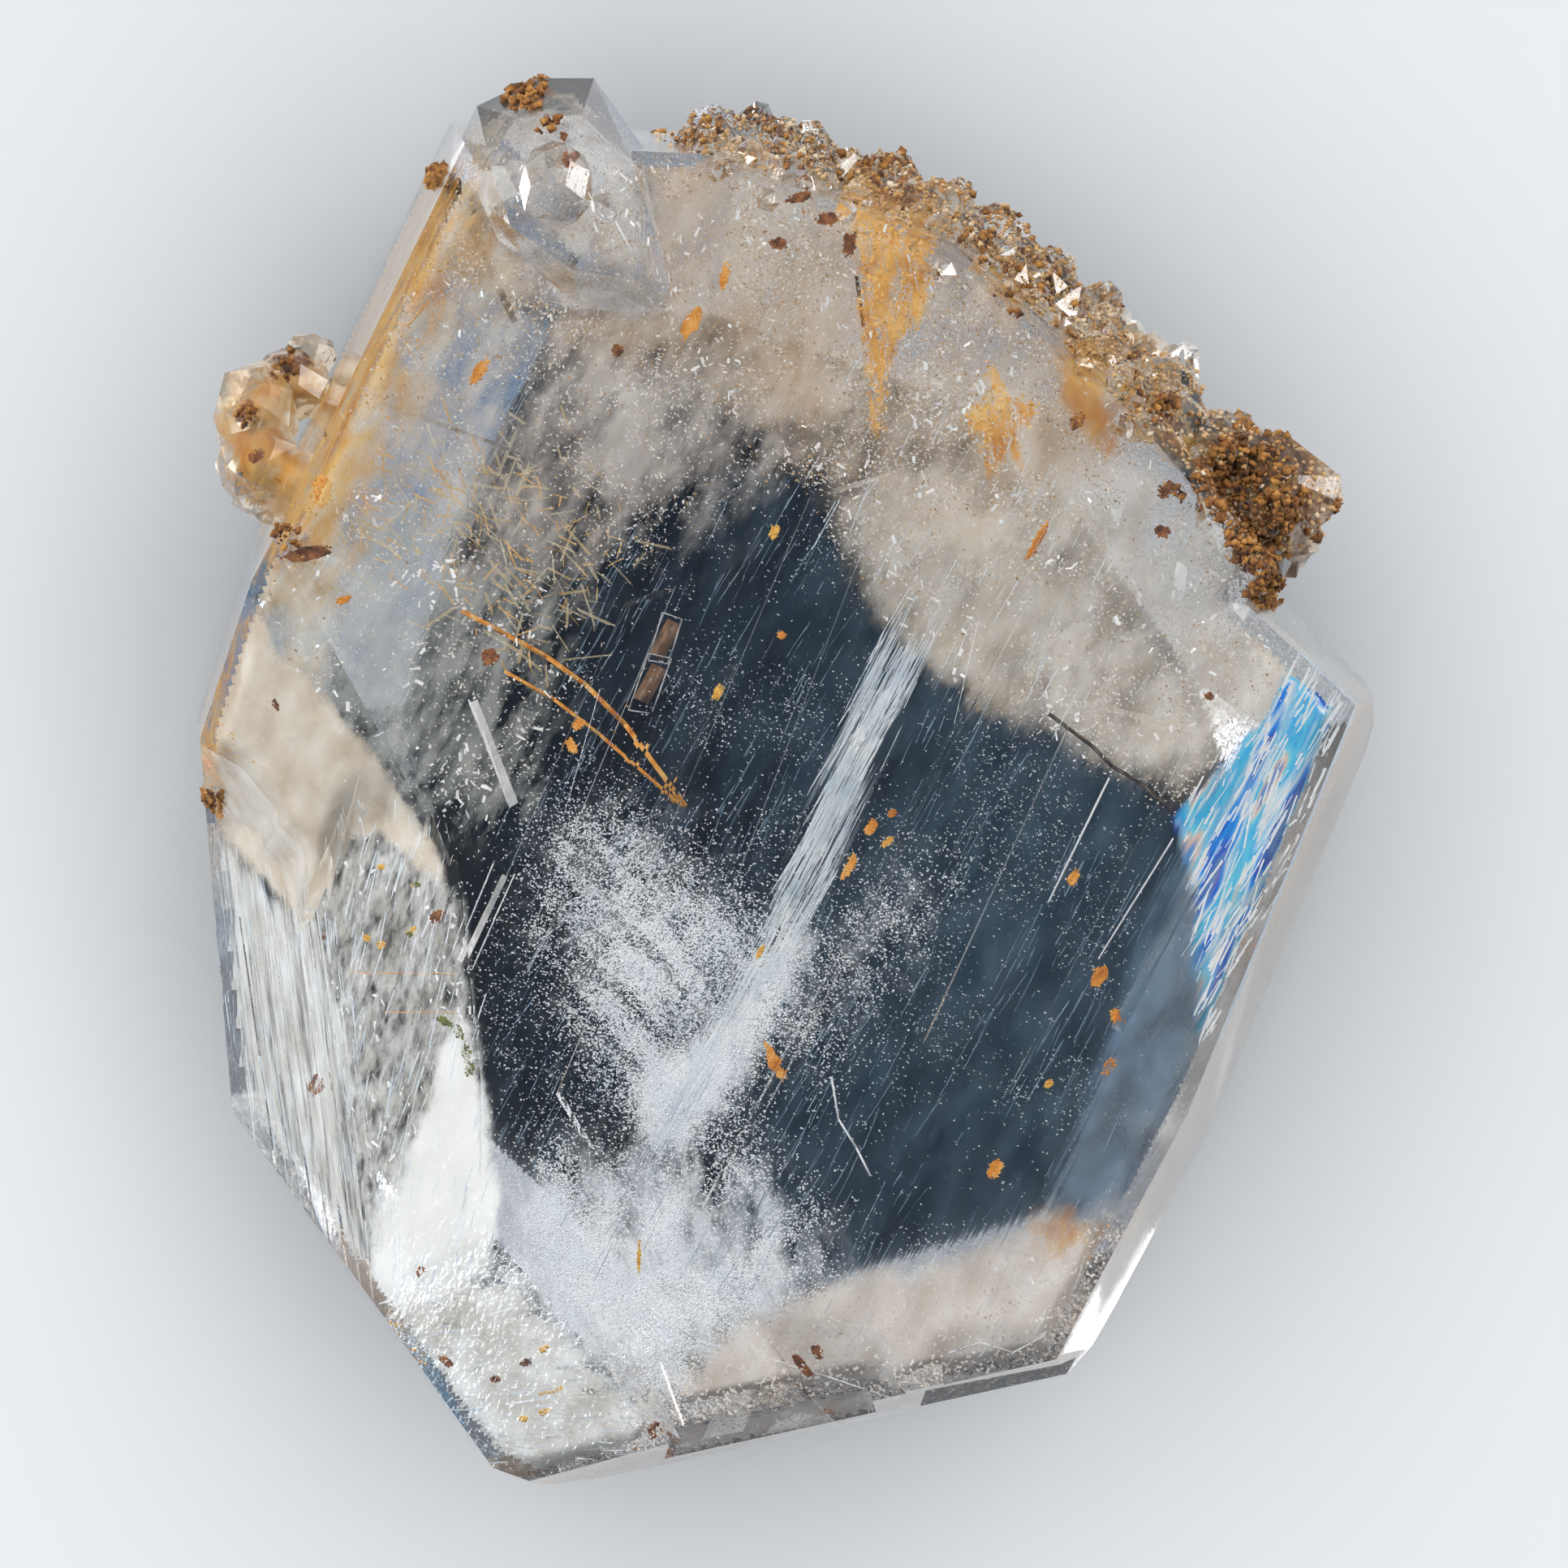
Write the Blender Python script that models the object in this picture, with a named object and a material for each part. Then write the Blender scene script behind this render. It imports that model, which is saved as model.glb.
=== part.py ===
"""A stubby clear quartz crystal that lies on a flat prism face.

X runs right, Y up the crystal and Z towards the big front prism face. Every
plan position and height below is in millimetres, with the origin under the
middle of the crystal, on the face that it rests on. A slope is in degrees from
level, so 90 is an upright wall and more than 90 leans out as it rises.
"""

import math
import random

import bmesh
import bpy
from mathutils import Matrix, Vector
from mathutils.bvhtree import BVHTree

MM = 0.001
NODE = "quartz_crystal"

THICKNESS = 18.0
BLOCK = 60.0
SEED = 11
# Corners closer together than this are one corner.
WELD = 0.002
# A join whose volume is off by more than this share of the smaller solid is made the second way.
VOLUME_SLACK = 0.02

# Sides of the crystal in plan, where it is widest, anticlockwise from the top left.
# name: start, end, height there, slope of the wall above, slope of the face below
SIDES = {
    "upper_left": ((-9.98, 18.10), (-15.12, 7.47), 9.5, 84.0, 118.0),
    "left_shoulder": ((-15.12, 7.47), (-16.85, 1.90), 9.0, 86.0, 121.0),
    "left_nose": ((-16.85, 1.90), (-16.60, -1.05), 9.0, 88.0, 119.0),
    "left": ((-16.60, -1.05), (-15.84, -9.53), 8.6, 89.0, 124.0),
    "lower_left": ((-15.84, -9.53), (-13.05, -13.40), 8.0, 87.0, 122.0),
    "foot_left": ((-13.05, -13.40), (-8.87, -19.33), 9.0, 88.0, 121.0),
    "foot": ((-8.87, -19.33), (-7.02, -20.00), 10.0, 88.0, 113.0),
    "foot_right": ((-7.02, -20.00), (-5.11, -19.80), 10.5, 88.0, 110.0),
    "bottom": ((-5.11, -19.80), (8.11, -16.90), 10.0, 84.0, 106.0),
    "lower_right": ((8.11, -16.90), (8.92, -15.80), 9.5, 84.0, 106.0),
    "right": ((8.92, -15.80), (12.15, -9.75), 9.0, 83.5, 98.0),
    "right_upper": ((12.15, -9.75), (16.76, 1.45), 9.0, 83.5, 110.0),
    "tip": ((16.76, 1.45), (16.69, 2.66), 10.0, 88.0, 102.0),
    "druse_right": ((16.69, 2.66), (9.60, 12.50), 9.5, 86.0, 112.0),
    "druse_upper": ((9.60, 12.50), (5.30, 16.20), 9.5, 82.0, 114.0),
    "druse_top": ((5.30, 16.20), (-1.00, 18.45), 9.5, 82.0, 118.0),
    "top": ((-1.00, 18.50), (-9.98, 18.90), 9.5, 84.0, 118.0),
}

# Growth faces all across the crystal: start and end of a level edge, its height and slope.
FACES = {
    "front_foot": ((-8.15, -12.83), (-3.93, -17.74), THICKNESS, 36.0),
    "front_druse_right": ((14.60, 4.60), (8.10, 12.20), THICKNESS, 46.0),
    "front_druse_upper": ((8.10, 12.20), (4.60, 15.10), THICKNESS, 46.0),
    "front_druse_top": ((4.60, 15.10), (-1.20, 17.40), THICKNESS, 46.0),
    "back_shoulder": ((-8.40, 14.60), (-11.60, 4.00), 0.0, 134.0),
    "back_right": ((9.80, 8.60), (12.60, 0.50), 0.0, 126.0),
    "back_foot_right": ((8.40, -12.10), (1.20, -14.30), 0.0, 112.0),
    "back_foot_left": ((-10.40, -8.50), (-3.00, -15.40), 0.0, 132.0),
}

# The broken ledge at the left: each point of its foot in plan, then how far its wall leans
# along X and Y for each rise of one.
LEDGE = (
    ((-24.00, 1.40), (0.10, 0.25)),
    ((-16.90, -0.55), (0.10, 0.28)),
    ((-15.63, -1.18), (0.14, 0.30)),
    ((-15.03, -2.21), (0.20, 0.30)),
    ((-14.10, -3.20), (0.24, 0.36)),
    ((-13.40, -3.80), (0.26, 0.55)),
    ((-12.95, -3.45), (0.20, 0.85)),
    ((-12.60, -2.40), (0.16, 1.05)),
    ((-12.10, -1.65), (0.14, 1.20)),
    ((-11.10, -1.25), (0.14, 1.25)),
    ((-10.10, -1.45), (0.16, 1.15)),
    ((-9.40, -2.10), (0.18, 0.95)),
    ((-8.60, -3.00), (0.20, 0.70)),
)
LEDGE_OVERLAP = 0.35
LEDGE_LOW = 7.0
LEDGE_HIGH = 20.0

# Where the cuts at the left side end, well outside the crystal, and the height they reach.
FAR_LEFT = -24.0
FAR_DOWN = -40.0
FAR_UP = 30.0
SKY = 26.0

# Faces at the left side: start and end of a level edge, its height and slope. The outer face
# begins where the inner face ends, so it has no height of its own.
UPPER_LEFT_FACE = ((-15.05, 7.90), (-9.60, -1.90), THICKNESS, 29.0)
INNER_FACE = ((-9.15, -3.00), (-8.15, -12.83), THICKNESS, 36.0)
OUTER_EDGE = ((-12.98, -3.53), (-11.43, -14.30))
OUTER_SLOPE = 56.0

# Fine steps that run down the outer left face. Each starts a little short of the face's upper
# corner and runs on past its lower end, and its section is a low triangle.
GROOVE_START = -0.1
GROOVE_REACH = 1.6
GROOVE_TOP = 0.6
GROOVE_FAR_SHARE = 0.3
# Distance of each from the upper edge, its depth and its width.
GROOVES = (
    (0.60, 0.16, 0.34),
    (1.15, 0.10, 0.20),
    (1.70, 0.20, 0.42),
    (2.45, 0.12, 0.24),
    (3.10, 0.18, 0.36),
    (3.90, 0.12, 0.26),
    (4.70, 0.16, 0.34),
)

# Low growth plates on the front face: plan outline and rise.
PLATES = (
    (((2.90, 8.60), (0.60, 7.90), (-6.40, -8.60), (-5.20, -10.60), (-4.20, -9.90)), 0.14),
    (((11.40, 1.40), (8.20, 2.20), (3.90, -7.20), (6.20, -8.60)), 0.10),
    (((-3.20, 5.40), (-4.60, 4.90), (-8.30, -3.60), (-7.20, -4.20)), 0.12),
)
PLATE_BANK = 0.35

# Fine ridges along the growth lines of the front face: upper end, length and width.
GROWTH_LINE = (-0.471, -0.882)
RIDGES = (
    ((5.20, 6.40), 12.0, 0.30),
    ((6.70, 5.20), 9.0, 0.20),
    ((0.10, 5.60), 13.0, 0.26),
    ((-1.50, 3.40), 7.0, 0.18),
    ((-3.60, 2.10), 8.5, 0.34),
    ((9.60, 0.20), 8.0, 0.24),
    ((12.20, -1.30), 6.5, 0.26),
    ((3.30, -1.60), 9.5, 0.20),
    ((0.90, -5.40), 7.5, 0.28),
)
RIDGE_RISE = 0.06

# The short face beside the tip and the steps broken out of the lower edge: plan outline, then
# the level edge, height and slope.
STEPS = {
    "tip_upper": (((17.05, 0.69), (12.60, 4.80), (15.30, 7.74), (19.77, 3.63)),
                  ((16.69, 2.66), (14.08, 5.07), 10.0, 84.0)),
    "left_chip": (((-4.40, -16.10), (-3.30, -16.30), (-2.10, -19.60), (-4.60, -20.40)),
                  ((-3.30, -16.30), (-2.10, -19.60), THICKNESS - 0.2, -38.0)),
    "middle_step": (((-0.55, -15.20), (1.55, -15.35), (4.50, -18.30), (3.60, -20.40), (1.90, -20.40)),
                    ((-0.75, -15.40), (1.55, -15.40), THICKNESS - 0.1, 21.0)),
    "light_facet": (((0.10, -16.80), (1.45, -18.30), (0.90, -20.40), (-1.20, -20.40), (-0.80, -18.30)),
                    ((0.10, -16.80), (-0.80, -18.30), THICKNESS - 0.1, 30.0)),
    "milky_step": (((4.30, -15.70), (8.60, -15.40), (10.40, -16.20), (8.20, -19.20), (4.60, -19.20)),
                   ((4.30, -15.85), (8.60, -15.50), THICKNESS - 0.05, 24.0)),
    "bottom_shelf": (((-3.20, -18.10), (2.30, -17.00), (3.60, -22.00), (-4.20, -22.00)),
                     ((-3.20, -18.35), (2.30, -17.20), 13.6, 58.0)),
    "corner_shelf": (((3.90, -17.10), (8.90, -16.20), (9.60, -19.60), (3.40, -20.00)),
                     ((3.90, -17.30), (8.60, -16.30), 11.8, 64.0)),
    "notch": (((1.10, -17.60), (1.90, -17.60), (3.10, -21.00), (0.60, -21.00)),
              ((0.90, -17.90), (2.10, -17.90), THICKNESS - 1.2, 70.0)),
}

NOTCH_CENTRE = (-17.15, -0.75, 12.2)
NOTCH_SIZE = (1.1, 0.75, 3.4)

# The small crystal at the top left: outline where it meets the big one, then its flat front.
TOP_CRYSTAL_RIM = (
    (-9.15, 18.30, 15.6),
    (-8.90, 16.70, 17.6),
    (-8.15, 15.20, 17.8),
    (-5.70, 13.20, 17.8),
    (-3.45, 13.10, 17.8),
    (-3.15, 13.60, 17.8),
    (-3.70, 16.20, 17.4),
    (-3.90, 17.70, 16.8),
    (-5.45, 19.90, 15.4),
    (-7.10, 19.90, 15.4),
    (-8.75, 19.10, 15.8),
)
TOP_CRYSTAL_FRONT = (
    (-8.35, 17.50, 19.0),
    (-7.75, 15.60, 19.6),
    (-6.00, 14.35, 19.8),
    (-4.30, 14.10, 19.3),
    (-4.25, 17.20, 19.1),
    (-5.75, 18.75, 18.4),
    (-7.60, 18.65, 18.5),
)
TOP_CRYSTAL_ROOT = 12.0
ROOT_TAPER = 0.95

# Rounded glassy forms: centre, radius, stretch along X, Y and Z.
ROUND_CRYSTALS = (
    ((-15.05, 10.55, 11.6), 1.50, (0.86, 1.05, 1.05)),
    ((-15.00, 9.10, 12.0), 1.42, (0.90, 1.05, 1.00)),
    ((-14.20, 11.30, 11.0), 1.20, (1.10, 0.90, 1.10)),
    ((-14.75, 8.35, 10.6), 1.15, (0.80, 0.95, 1.20)),
    ((-13.60, 12.20, 10.6), 0.80, (1.00, 0.85, 1.00)),
    ((-15.30, 10.00, 9.4), 1.10, (0.90, 1.20, 1.10)),
    ((-6.45, 16.75, 19.25), 1.30, (0.84, 1.02, 0.85)),
    ((-5.10, 16.10, 19.35), 0.55, (0.80, 0.85, 0.85)),
)
# Corners of each rounded form, how far a corner strays round it, and its least and most reach.
ROUND_CORNERS = 32
LOBE_CORNERS = 24
HOLLOW_CORNERS = 26
CORNER_STRAY = 0.2
CORNER_REACH = (0.94, 1.04)

# The druse lobe: lumps it is made of, then the crystals on it with radius, length and aim.
LOBE_LUMPS = (
    ((10.30, 10.10, 14.4), 1.75, (1.00, 0.90, 1.35)),
    ((12.10, 9.10, 14.0), 1.80, (1.00, 0.85, 1.35)),
    ((13.60, 8.00, 13.8), 1.75, (1.00, 0.95, 1.30)),
    ((13.30, 6.30, 13.6), 1.10, (0.90, 1.00, 1.60)),
)
LOBE_CRYSTALS = (
    ((13.90, 8.10, 14.3), 1.75, 3.1, (0.95, 0.10, 0.20)),
    ((13.90, 7.20, 12.8), 1.20, 2.2, (0.80, -0.25, -0.15)),
    ((7.55, 13.50, 15.0), 0.80, 1.6, (0.70, 0.75, 0.20)),
    ((13.70, 8.70, 12.8), 1.15, 2.0, (0.70, 0.60, -0.10)),
    ((13.40, 8.90, 14.9), 0.85, 1.5, (0.40, 0.70, 0.50)),
    ((12.60, 9.70, 13.6), 0.85, 1.5, (0.40, 0.85, 0.15)),
    ((12.00, 9.80, 15.0), 0.80, 1.4, (0.10, 0.75, 0.60)),
    ((10.90, 10.90, 14.4), 0.90, 1.5, (0.35, 0.90, 0.15)),
    ((10.10, 11.00, 15.4), 0.75, 1.2, (0.10, 0.80, 0.60)),
    ((9.60, 10.00, 16.6), 0.75, 1.2, (-0.20, 0.30, 0.90)),
    ((10.80, 8.90, 16.6), 0.70, 1.2, (-0.10, 0.10, 0.95)),
    ((11.10, 7.20, 17.2), 0.65, 1.1, (-0.30, -0.20, 0.95)),
    ((12.10, 5.60, 17.0), 0.70, 1.2, (0.20, -0.30, 0.90)),
    ((13.30, 5.90, 15.4), 0.75, 1.3, (0.60, -0.20, 0.50)),
    ((12.20, 9.60, 11.8), 0.95, 1.6, (0.50, 0.70, -0.40)),
    ((10.40, 11.10, 12.6), 0.90, 1.6, (0.40, 0.80, -0.30)),
    ((14.00, 6.60, 11.6), 0.90, 1.6, (0.80, 0.10, -0.40)),
)
LOBE_HOLLOW = ((12.75, 7.75, 16.6), 1.0, (1.30, 1.65, 1.25))

# The sugary edge follows this line. Each row of crystals has its rise seen from the line,
# its count and the size of its crystals.
DRUSE_LINE = ((-3.00, 15.60), (0.60, 15.00), (3.60, 13.60), (6.40, 11.60), (8.40, 8.90))
DRUSE_HEIGHT = 12.5
DRUSE_ROWS = (
    (74.0, 16, 0.36),
    (66.0, 20, 0.44),
    (58.0, 24, 0.52),
    (48.0, 25, 0.58),
    (36.0, 23, 0.66),
    (20.0, 20, 0.74),
    (2.0, 17, 0.82),
    (-16.0, 14, 0.88),
    (-33.0, 10, 0.90),
)
DRUSE_LEAN = 0.35
DRUSE_STRAY = 5.0
DRUSE_SIZES = (0.75, 1.25)
# Length of a druse crystal for a radius of one, and the distance it is set out from.
DRUSE_LENGTH = 2.0
REACH = 14.0

# A little crystal: places along it as shares of its length, widths as shares of its radius.
PRISM_SIDES = 6
ROOT_AT = -0.70
SHOULDER_AT = 0.10
TIP_AT = 0.60
ROOT_WIDTH = 0.85
CORNER_WIDTHS = (0.88, 1.10)
TIP_WIDTH = 0.22
TIP_STRAY = 0.15

QUARTZ_COLOR = (0.86, 0.87, 0.88, 1.0)
QUARTZ_ROUGHNESS = 0.04
QUARTZ_IOR = 1.544


def mm(point):
    """A point given in millimetres, in metres."""
    return Vector(point) * MM


def clear_scene():
    for obj in list(bpy.data.objects):
        bpy.data.objects.remove(obj, do_unlink=True)


def plane_from_edge(start, end, height, slope):
    """The plane through a level edge that falls away from the middle at this slope."""
    along = Vector((end[0] - start[0], end[1] - start[1], 0.0)).normalized()
    out = Vector((along.y, -along.x, 0.0))
    middle = Vector(((start[0] + end[0]) / 2, (start[1] + end[1]) / 2, 0.0))
    if out.dot(middle) < 0:
        out = -out
    turn = math.radians(slope)
    normal = out * math.sin(turn) + Vector((0.0, 0.0, math.cos(turn)))
    return Vector((start[0], start[1], height)), normal


def height_on_plane(plane, plan):
    """The height of a plane above a plan position."""
    point, normal = plane
    level = normal.x * (plan[0] - point.x) + normal.y * (plan[1] - point.y)
    return point.z - level / normal.z


def cut_face(mesh, point, normal):
    """Takes off what lies outside a plane and closes the cut with one flat face."""
    parts = mesh.verts[:] + mesh.edges[:] + mesh.faces[:]
    result = bmesh.ops.bisect_plane(
        mesh, geom=parts, plane_co=point * MM, plane_no=normal, clear_outer=True
    )
    rim = [item for item in result["geom_cut"] if isinstance(item, bmesh.types.BMEdge)]
    if rim:
        bmesh.ops.contextual_create(mesh, geom=rim)


def new_object(name, mesh):
    data = bpy.data.meshes.new(name)
    bmesh.ops.recalc_face_normals(mesh, faces=mesh.faces)
    mesh.to_mesh(data)
    mesh.free()
    obj = bpy.data.objects.new(name, data)
    bpy.context.collection.objects.link(obj)
    return obj


def volume_if_closed(data):
    """The volume inside a mesh, or zero where it has an open edge."""
    mesh = bmesh.new()
    mesh.from_mesh(data)
    closed = all(len(edge.link_faces) == 2 for edge in mesh.edges)
    volume = mesh.calc_volume() if closed else 0.0
    mesh.free()
    return volume


def combined_mesh(body, tool, operation, solver):
    """The mesh of two solids joined, or of one less the other, with no doubled corners."""
    step = body.modifiers.new(operation.lower(), "BOOLEAN")
    step.operation = operation
    step.solver = solver
    step.object = tool
    graph = bpy.context.evaluated_depsgraph_get()
    result = bpy.data.meshes.new_from_object(body.evaluated_get(graph))
    body.modifiers.remove(step)
    mesh = bmesh.new()
    mesh.from_mesh(result)
    bmesh.ops.remove_doubles(mesh, verts=mesh.verts, dist=WELD * MM)
    bmesh.ops.dissolve_degenerate(mesh, edges=mesh.edges, dist=WELD * MM)
    loose = [edge for edge in mesh.edges if not edge.link_faces]
    bmesh.ops.delete(mesh, geom=loose, context="EDGES")
    mesh.to_mesh(result)
    mesh.free()
    return result


def combine(body, tool, operation):
    """Joins or takes away one solid, and removes the tool."""
    before = volume_if_closed(body.data)
    most = volume_if_closed(tool.data) * (1.0 + VOLUME_SLACK)
    for solver in ("EXACT", "MANIFOLD"):
        result = combined_mesh(body, tool, operation, solver)
        gain = volume_if_closed(result) - before
        if operation == "DIFFERENCE":
            gain = -gain
        if -most * VOLUME_SLACK <= gain <= most:
            break
        bpy.data.meshes.remove(result)
    old = body.data
    body.data = result
    bpy.data.meshes.remove(old)
    bpy.data.objects.remove(tool, do_unlink=True)


def prism(low_ring, high_ring):
    """A closed solid between two rings of points."""
    mesh = bmesh.new()
    low = [mesh.verts.new(mm(point)) for point in low_ring]
    high = [mesh.verts.new(mm(point)) for point in high_ring]
    mesh.faces.new(low)
    mesh.faces.new(high)
    for i, point in enumerate(low):
        after = (i + 1) % len(low)
        mesh.faces.new((point, low[after], high[after], high[i]))
    return mesh


def hull(points):
    """The smallest closed flat-faced solid around these points."""
    mesh = bmesh.new()
    made = [mesh.verts.new(mm(point)) for point in points]
    result = bmesh.ops.convex_hull(mesh, input=made)
    inside = [item for item in result["geom_interior"] if isinstance(item, bmesh.types.BMVert)]
    bmesh.ops.delete(mesh, geom=inside, context="VERTS")
    return mesh


def big_crystal():
    """A block cut down by the crystal's growth faces."""
    mesh = bmesh.new()
    bmesh.ops.create_cube(mesh, size=1.0)
    bmesh.ops.scale(mesh, vec=mm((BLOCK, BLOCK, THICKNESS)), verts=mesh.verts)
    bmesh.ops.translate(mesh, vec=mm((0.0, 0.0, THICKNESS / 2)), verts=mesh.verts)
    for start, end, widest, above, below in SIDES.values():
        cut_face(mesh, *plane_from_edge(start, end, widest, above))
        cut_face(mesh, *plane_from_edge(start, end, widest, below))
    for face in FACES.values():
        cut_face(mesh, *plane_from_edge(*face))
    return new_object(NODE, mesh)


def carve(body, outline, plane):
    """Takes away all above a plane, within a plan outline."""
    base = [(x, y, height_on_plane(plane, (x, y))) for x, y in outline]
    top = [(x, y, SKY) for x, y in outline]
    combine(body, new_object("cutter", prism(base, top)), "DIFFERENCE")


def carve_below_ledge(body, plane, floor):
    """Takes away what lies outside a left face, up to the ledge's sloping wall."""
    rings = []
    for level in (LEDGE_LOW, LEDGE_HIGH):
        ring = []
        for (x, y), (lean_x, lean_y) in LEDGE:
            rise = level - floor((x, y))
            ring.append((x + lean_x * rise, y + lean_y * rise, level))
        ring.append((ring[-1][0], FAR_DOWN, level))
        ring.append((ring[0][0], FAR_DOWN, level))
        rings.append(ring)
    mesh = prism(*rings)
    bmesh.ops.triangulate(mesh, faces=mesh.faces)
    point, normal = plane
    cut_face(mesh, point, -normal)
    combine(body, new_object("cutter", mesh), "DIFFERENCE")


def shape_left_side(body):
    """The gently sloping face at the upper left, and the two faces set back below the ledge."""
    foot = [(x, y - LEDGE_OVERLAP) for (x, y), _ in LEDGE]
    upper = [*foot, (foot[-1][0], FAR_UP), (FAR_LEFT, FAR_UP)]
    carve(body, upper, plane_from_edge(*UPPER_LEFT_FACE))
    inner = plane_from_edge(*INNER_FACE)
    outer_height = height_on_plane(inner, OUTER_EDGE[0])
    outer = plane_from_edge(*OUTER_EDGE, outer_height, OUTER_SLOPE)

    def floor(plan):
        return min(height_on_plane(inner, plan), height_on_plane(outer, plan), THICKNESS)

    carve_below_ledge(body, inner, floor)
    carve_below_ledge(body, outer, floor)
    groove_outer_face(body, outer)


def groove_outer_face(body, face):
    """Fine steps down the outer left face, parallel to its upper edge."""
    point, normal = face
    start, end = (Vector((*plan, 0.0)) for plan in OUTER_EDGE)
    along = (end - start).normalized()
    down = along.cross(normal).normalized()
    if down.z > 0:
        down = -down
    first = along * GROOVE_START
    last = (end - start) * GROOVE_REACH
    for distance, depth, width in GROOVES:
        centre = point + down * distance
        near = normal * GROOVE_TOP - down * width
        far = normal * GROOVE_TOP + down * width * GROOVE_FAR_SHARE
        corners = (-normal * depth, near, far)
        points = [centre + reach + corner for reach in (first, last) for corner in corners]
        combine(body, new_object("cutter", hull(points)), "DIFFERENCE")


def add_plate(body, outline, rise):
    """A low plate of growth on the front face, with banked edges."""
    middle = sum((Vector(plan) for plan in outline), Vector((0.0, 0.0))) / len(outline)
    points = [(x, y, THICKNESS + rise) for x, y in outline]
    for plan in outline:
        wide = Vector(plan) + (Vector(plan) - middle).normalized() * PLATE_BANK
        points.append((wide.x, wide.y, THICKNESS - rise))
    combine(body, new_object("plate", hull(points)), "UNION")


def ridge(body, start, length, width):
    """A fine ridge of growth on the front face, with one bank on each side."""
    along = Vector((*GROWTH_LINE, 0.0)).normalized() * length
    across = Vector((-along.y, along.x, 0.0)).normalized() * width
    foot = Vector((*start, THICKNESS - RIDGE_RISE))
    crest = foot + Vector((0.0, 0.0, 2.0 * RIDGE_RISE)) + along.normalized() * width
    inner = along - 2.0 * along.normalized() * width
    points = [foot - across, foot + across, foot + along - across, foot + along + across]
    points += [crest, crest + inner, crest + across / 2, crest + inner + across / 2]
    combine(body, new_object("ridge", hull(points)), "UNION")


def lump(centre, radius, stretch, rng, count):
    """A rounded crystal: the hull of points spread over a stretched ball."""
    golden = math.pi * (3.0 - math.sqrt(5.0))
    points = []
    for i in range(count):
        level = 1.0 - 2.0 * (i + 0.5) / count
        ring = math.sqrt(1.0 - level * level)
        turn = i * golden + rng.uniform(-CORNER_STRAY, CORNER_STRAY)
        reach = radius * rng.uniform(*CORNER_REACH)
        place = (ring * math.cos(turn), ring * math.sin(turn), level)
        points.append(tuple(c + p * reach * s for c, p, s in zip(centre, place, stretch)))
    return new_object("lump", hull(points))


def small_crystal(centre, radius, length, aim, rng):
    """A six-sided prism with a blunt tip, its root buried in what it grows from."""
    turn = Vector(aim).normalized().to_track_quat("Z", "Y").to_matrix()
    spin = rng.uniform(0.0, math.pi / 3)
    points = []
    for along, wide in ((ROOT_AT, ROOT_WIDTH), (SHOULDER_AT, 1.0)):
        for i in range(PRISM_SIDES):
            angle = spin + i * 2.0 * math.pi / PRISM_SIDES
            reach = radius * wide * rng.uniform(*CORNER_WIDTHS)
            place = Vector((reach * math.cos(angle), reach * math.sin(angle), along * length))
            points.append(Vector(centre) + turn @ place)
    for side in (-1.0, 1.0):
        stray = rng.uniform(-TIP_STRAY, TIP_STRAY) * radius
        tip = Vector((side * radius * TIP_WIDTH, stray, TIP_AT * length))
        points.append(Vector(centre) + turn @ tip)
    return new_object("crystal", hull(points))


def top_crystal():
    root = [(x * ROOT_TAPER, y * ROOT_TAPER, TOP_CRYSTAL_ROOT) for x, y, _ in TOP_CRYSTAL_RIM]
    return new_object("crystal", hull([*TOP_CRYSTAL_RIM, *TOP_CRYSTAL_FRONT, *root]))


def point_on_line(line, share):
    """The point and outward direction at this share of a line's length."""
    points = [Vector((*item, 0.0)) for item in line]
    spans = [(b - a).length for a, b in zip(points, points[1:])]
    left = share * sum(spans)
    for a, b, span in zip(points, points[1:], spans):
        if left <= span:
            break
        left -= span
    along = (b - a).normalized()
    return a + along * left, Vector((-along.y, along.x, 0.0))


def add_druse(body, rng):
    """Little crystals all over the broken edge at the upper right."""
    mesh = bmesh.new()
    mesh.from_mesh(body.data)
    tree = BVHTree.FromBMesh(mesh)
    mesh.free()
    for rise, count, size in DRUSE_ROWS:
        for i in range(count):
            place, out = point_on_line(DRUSE_LINE, (i + rng.uniform(0.0, 1.0)) / count)
            turn = math.radians(rise + rng.uniform(-DRUSE_STRAY, DRUSE_STRAY))
            look = out * math.cos(turn) + Vector((0.0, 0.0, math.sin(turn)))
            start = place + Vector((0.0, 0.0, DRUSE_HEIGHT)) + look * REACH
            hit, normal, _, _ = tree.ray_cast(start * MM, -look)
            radius = size * rng.uniform(*DRUSE_SIZES)
            lean = Vector(rng.uniform(-DRUSE_LEAN, DRUSE_LEAN) for _ in range(3))
            crystal = small_crystal(hit / MM, radius, radius * DRUSE_LENGTH, normal + lean, rng)
            combine(body, crystal, "UNION")


def add_small_crystals(body, rng):
    combine(body, top_crystal(), "UNION")
    for form in ROUND_CRYSTALS:
        combine(body, lump(*form, rng, ROUND_CORNERS), "UNION")
    for form in LOBE_LUMPS:
        combine(body, lump(*form, rng, LOBE_CORNERS), "UNION")
    for form in LOBE_CRYSTALS:
        combine(body, small_crystal(*form, rng), "UNION")
    combine(body, lump(*LOBE_HOLLOW, rng, HOLLOW_CORNERS), "DIFFERENCE")


def rest_on_origin(body):
    """Puts the middle of the crystal's box over the origin and its lowest face at zero."""
    places = [vertex.co for vertex in body.data.vertices]
    low = Vector(min(place[i] for place in places) for i in range(3))
    high = Vector(max(place[i] for place in places) for i in range(3))
    shift = Vector(((low.x + high.x) / 2, (low.y + high.y) / 2, low.z))
    body.data.transform(Matrix.Translation(-shift))


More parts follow.
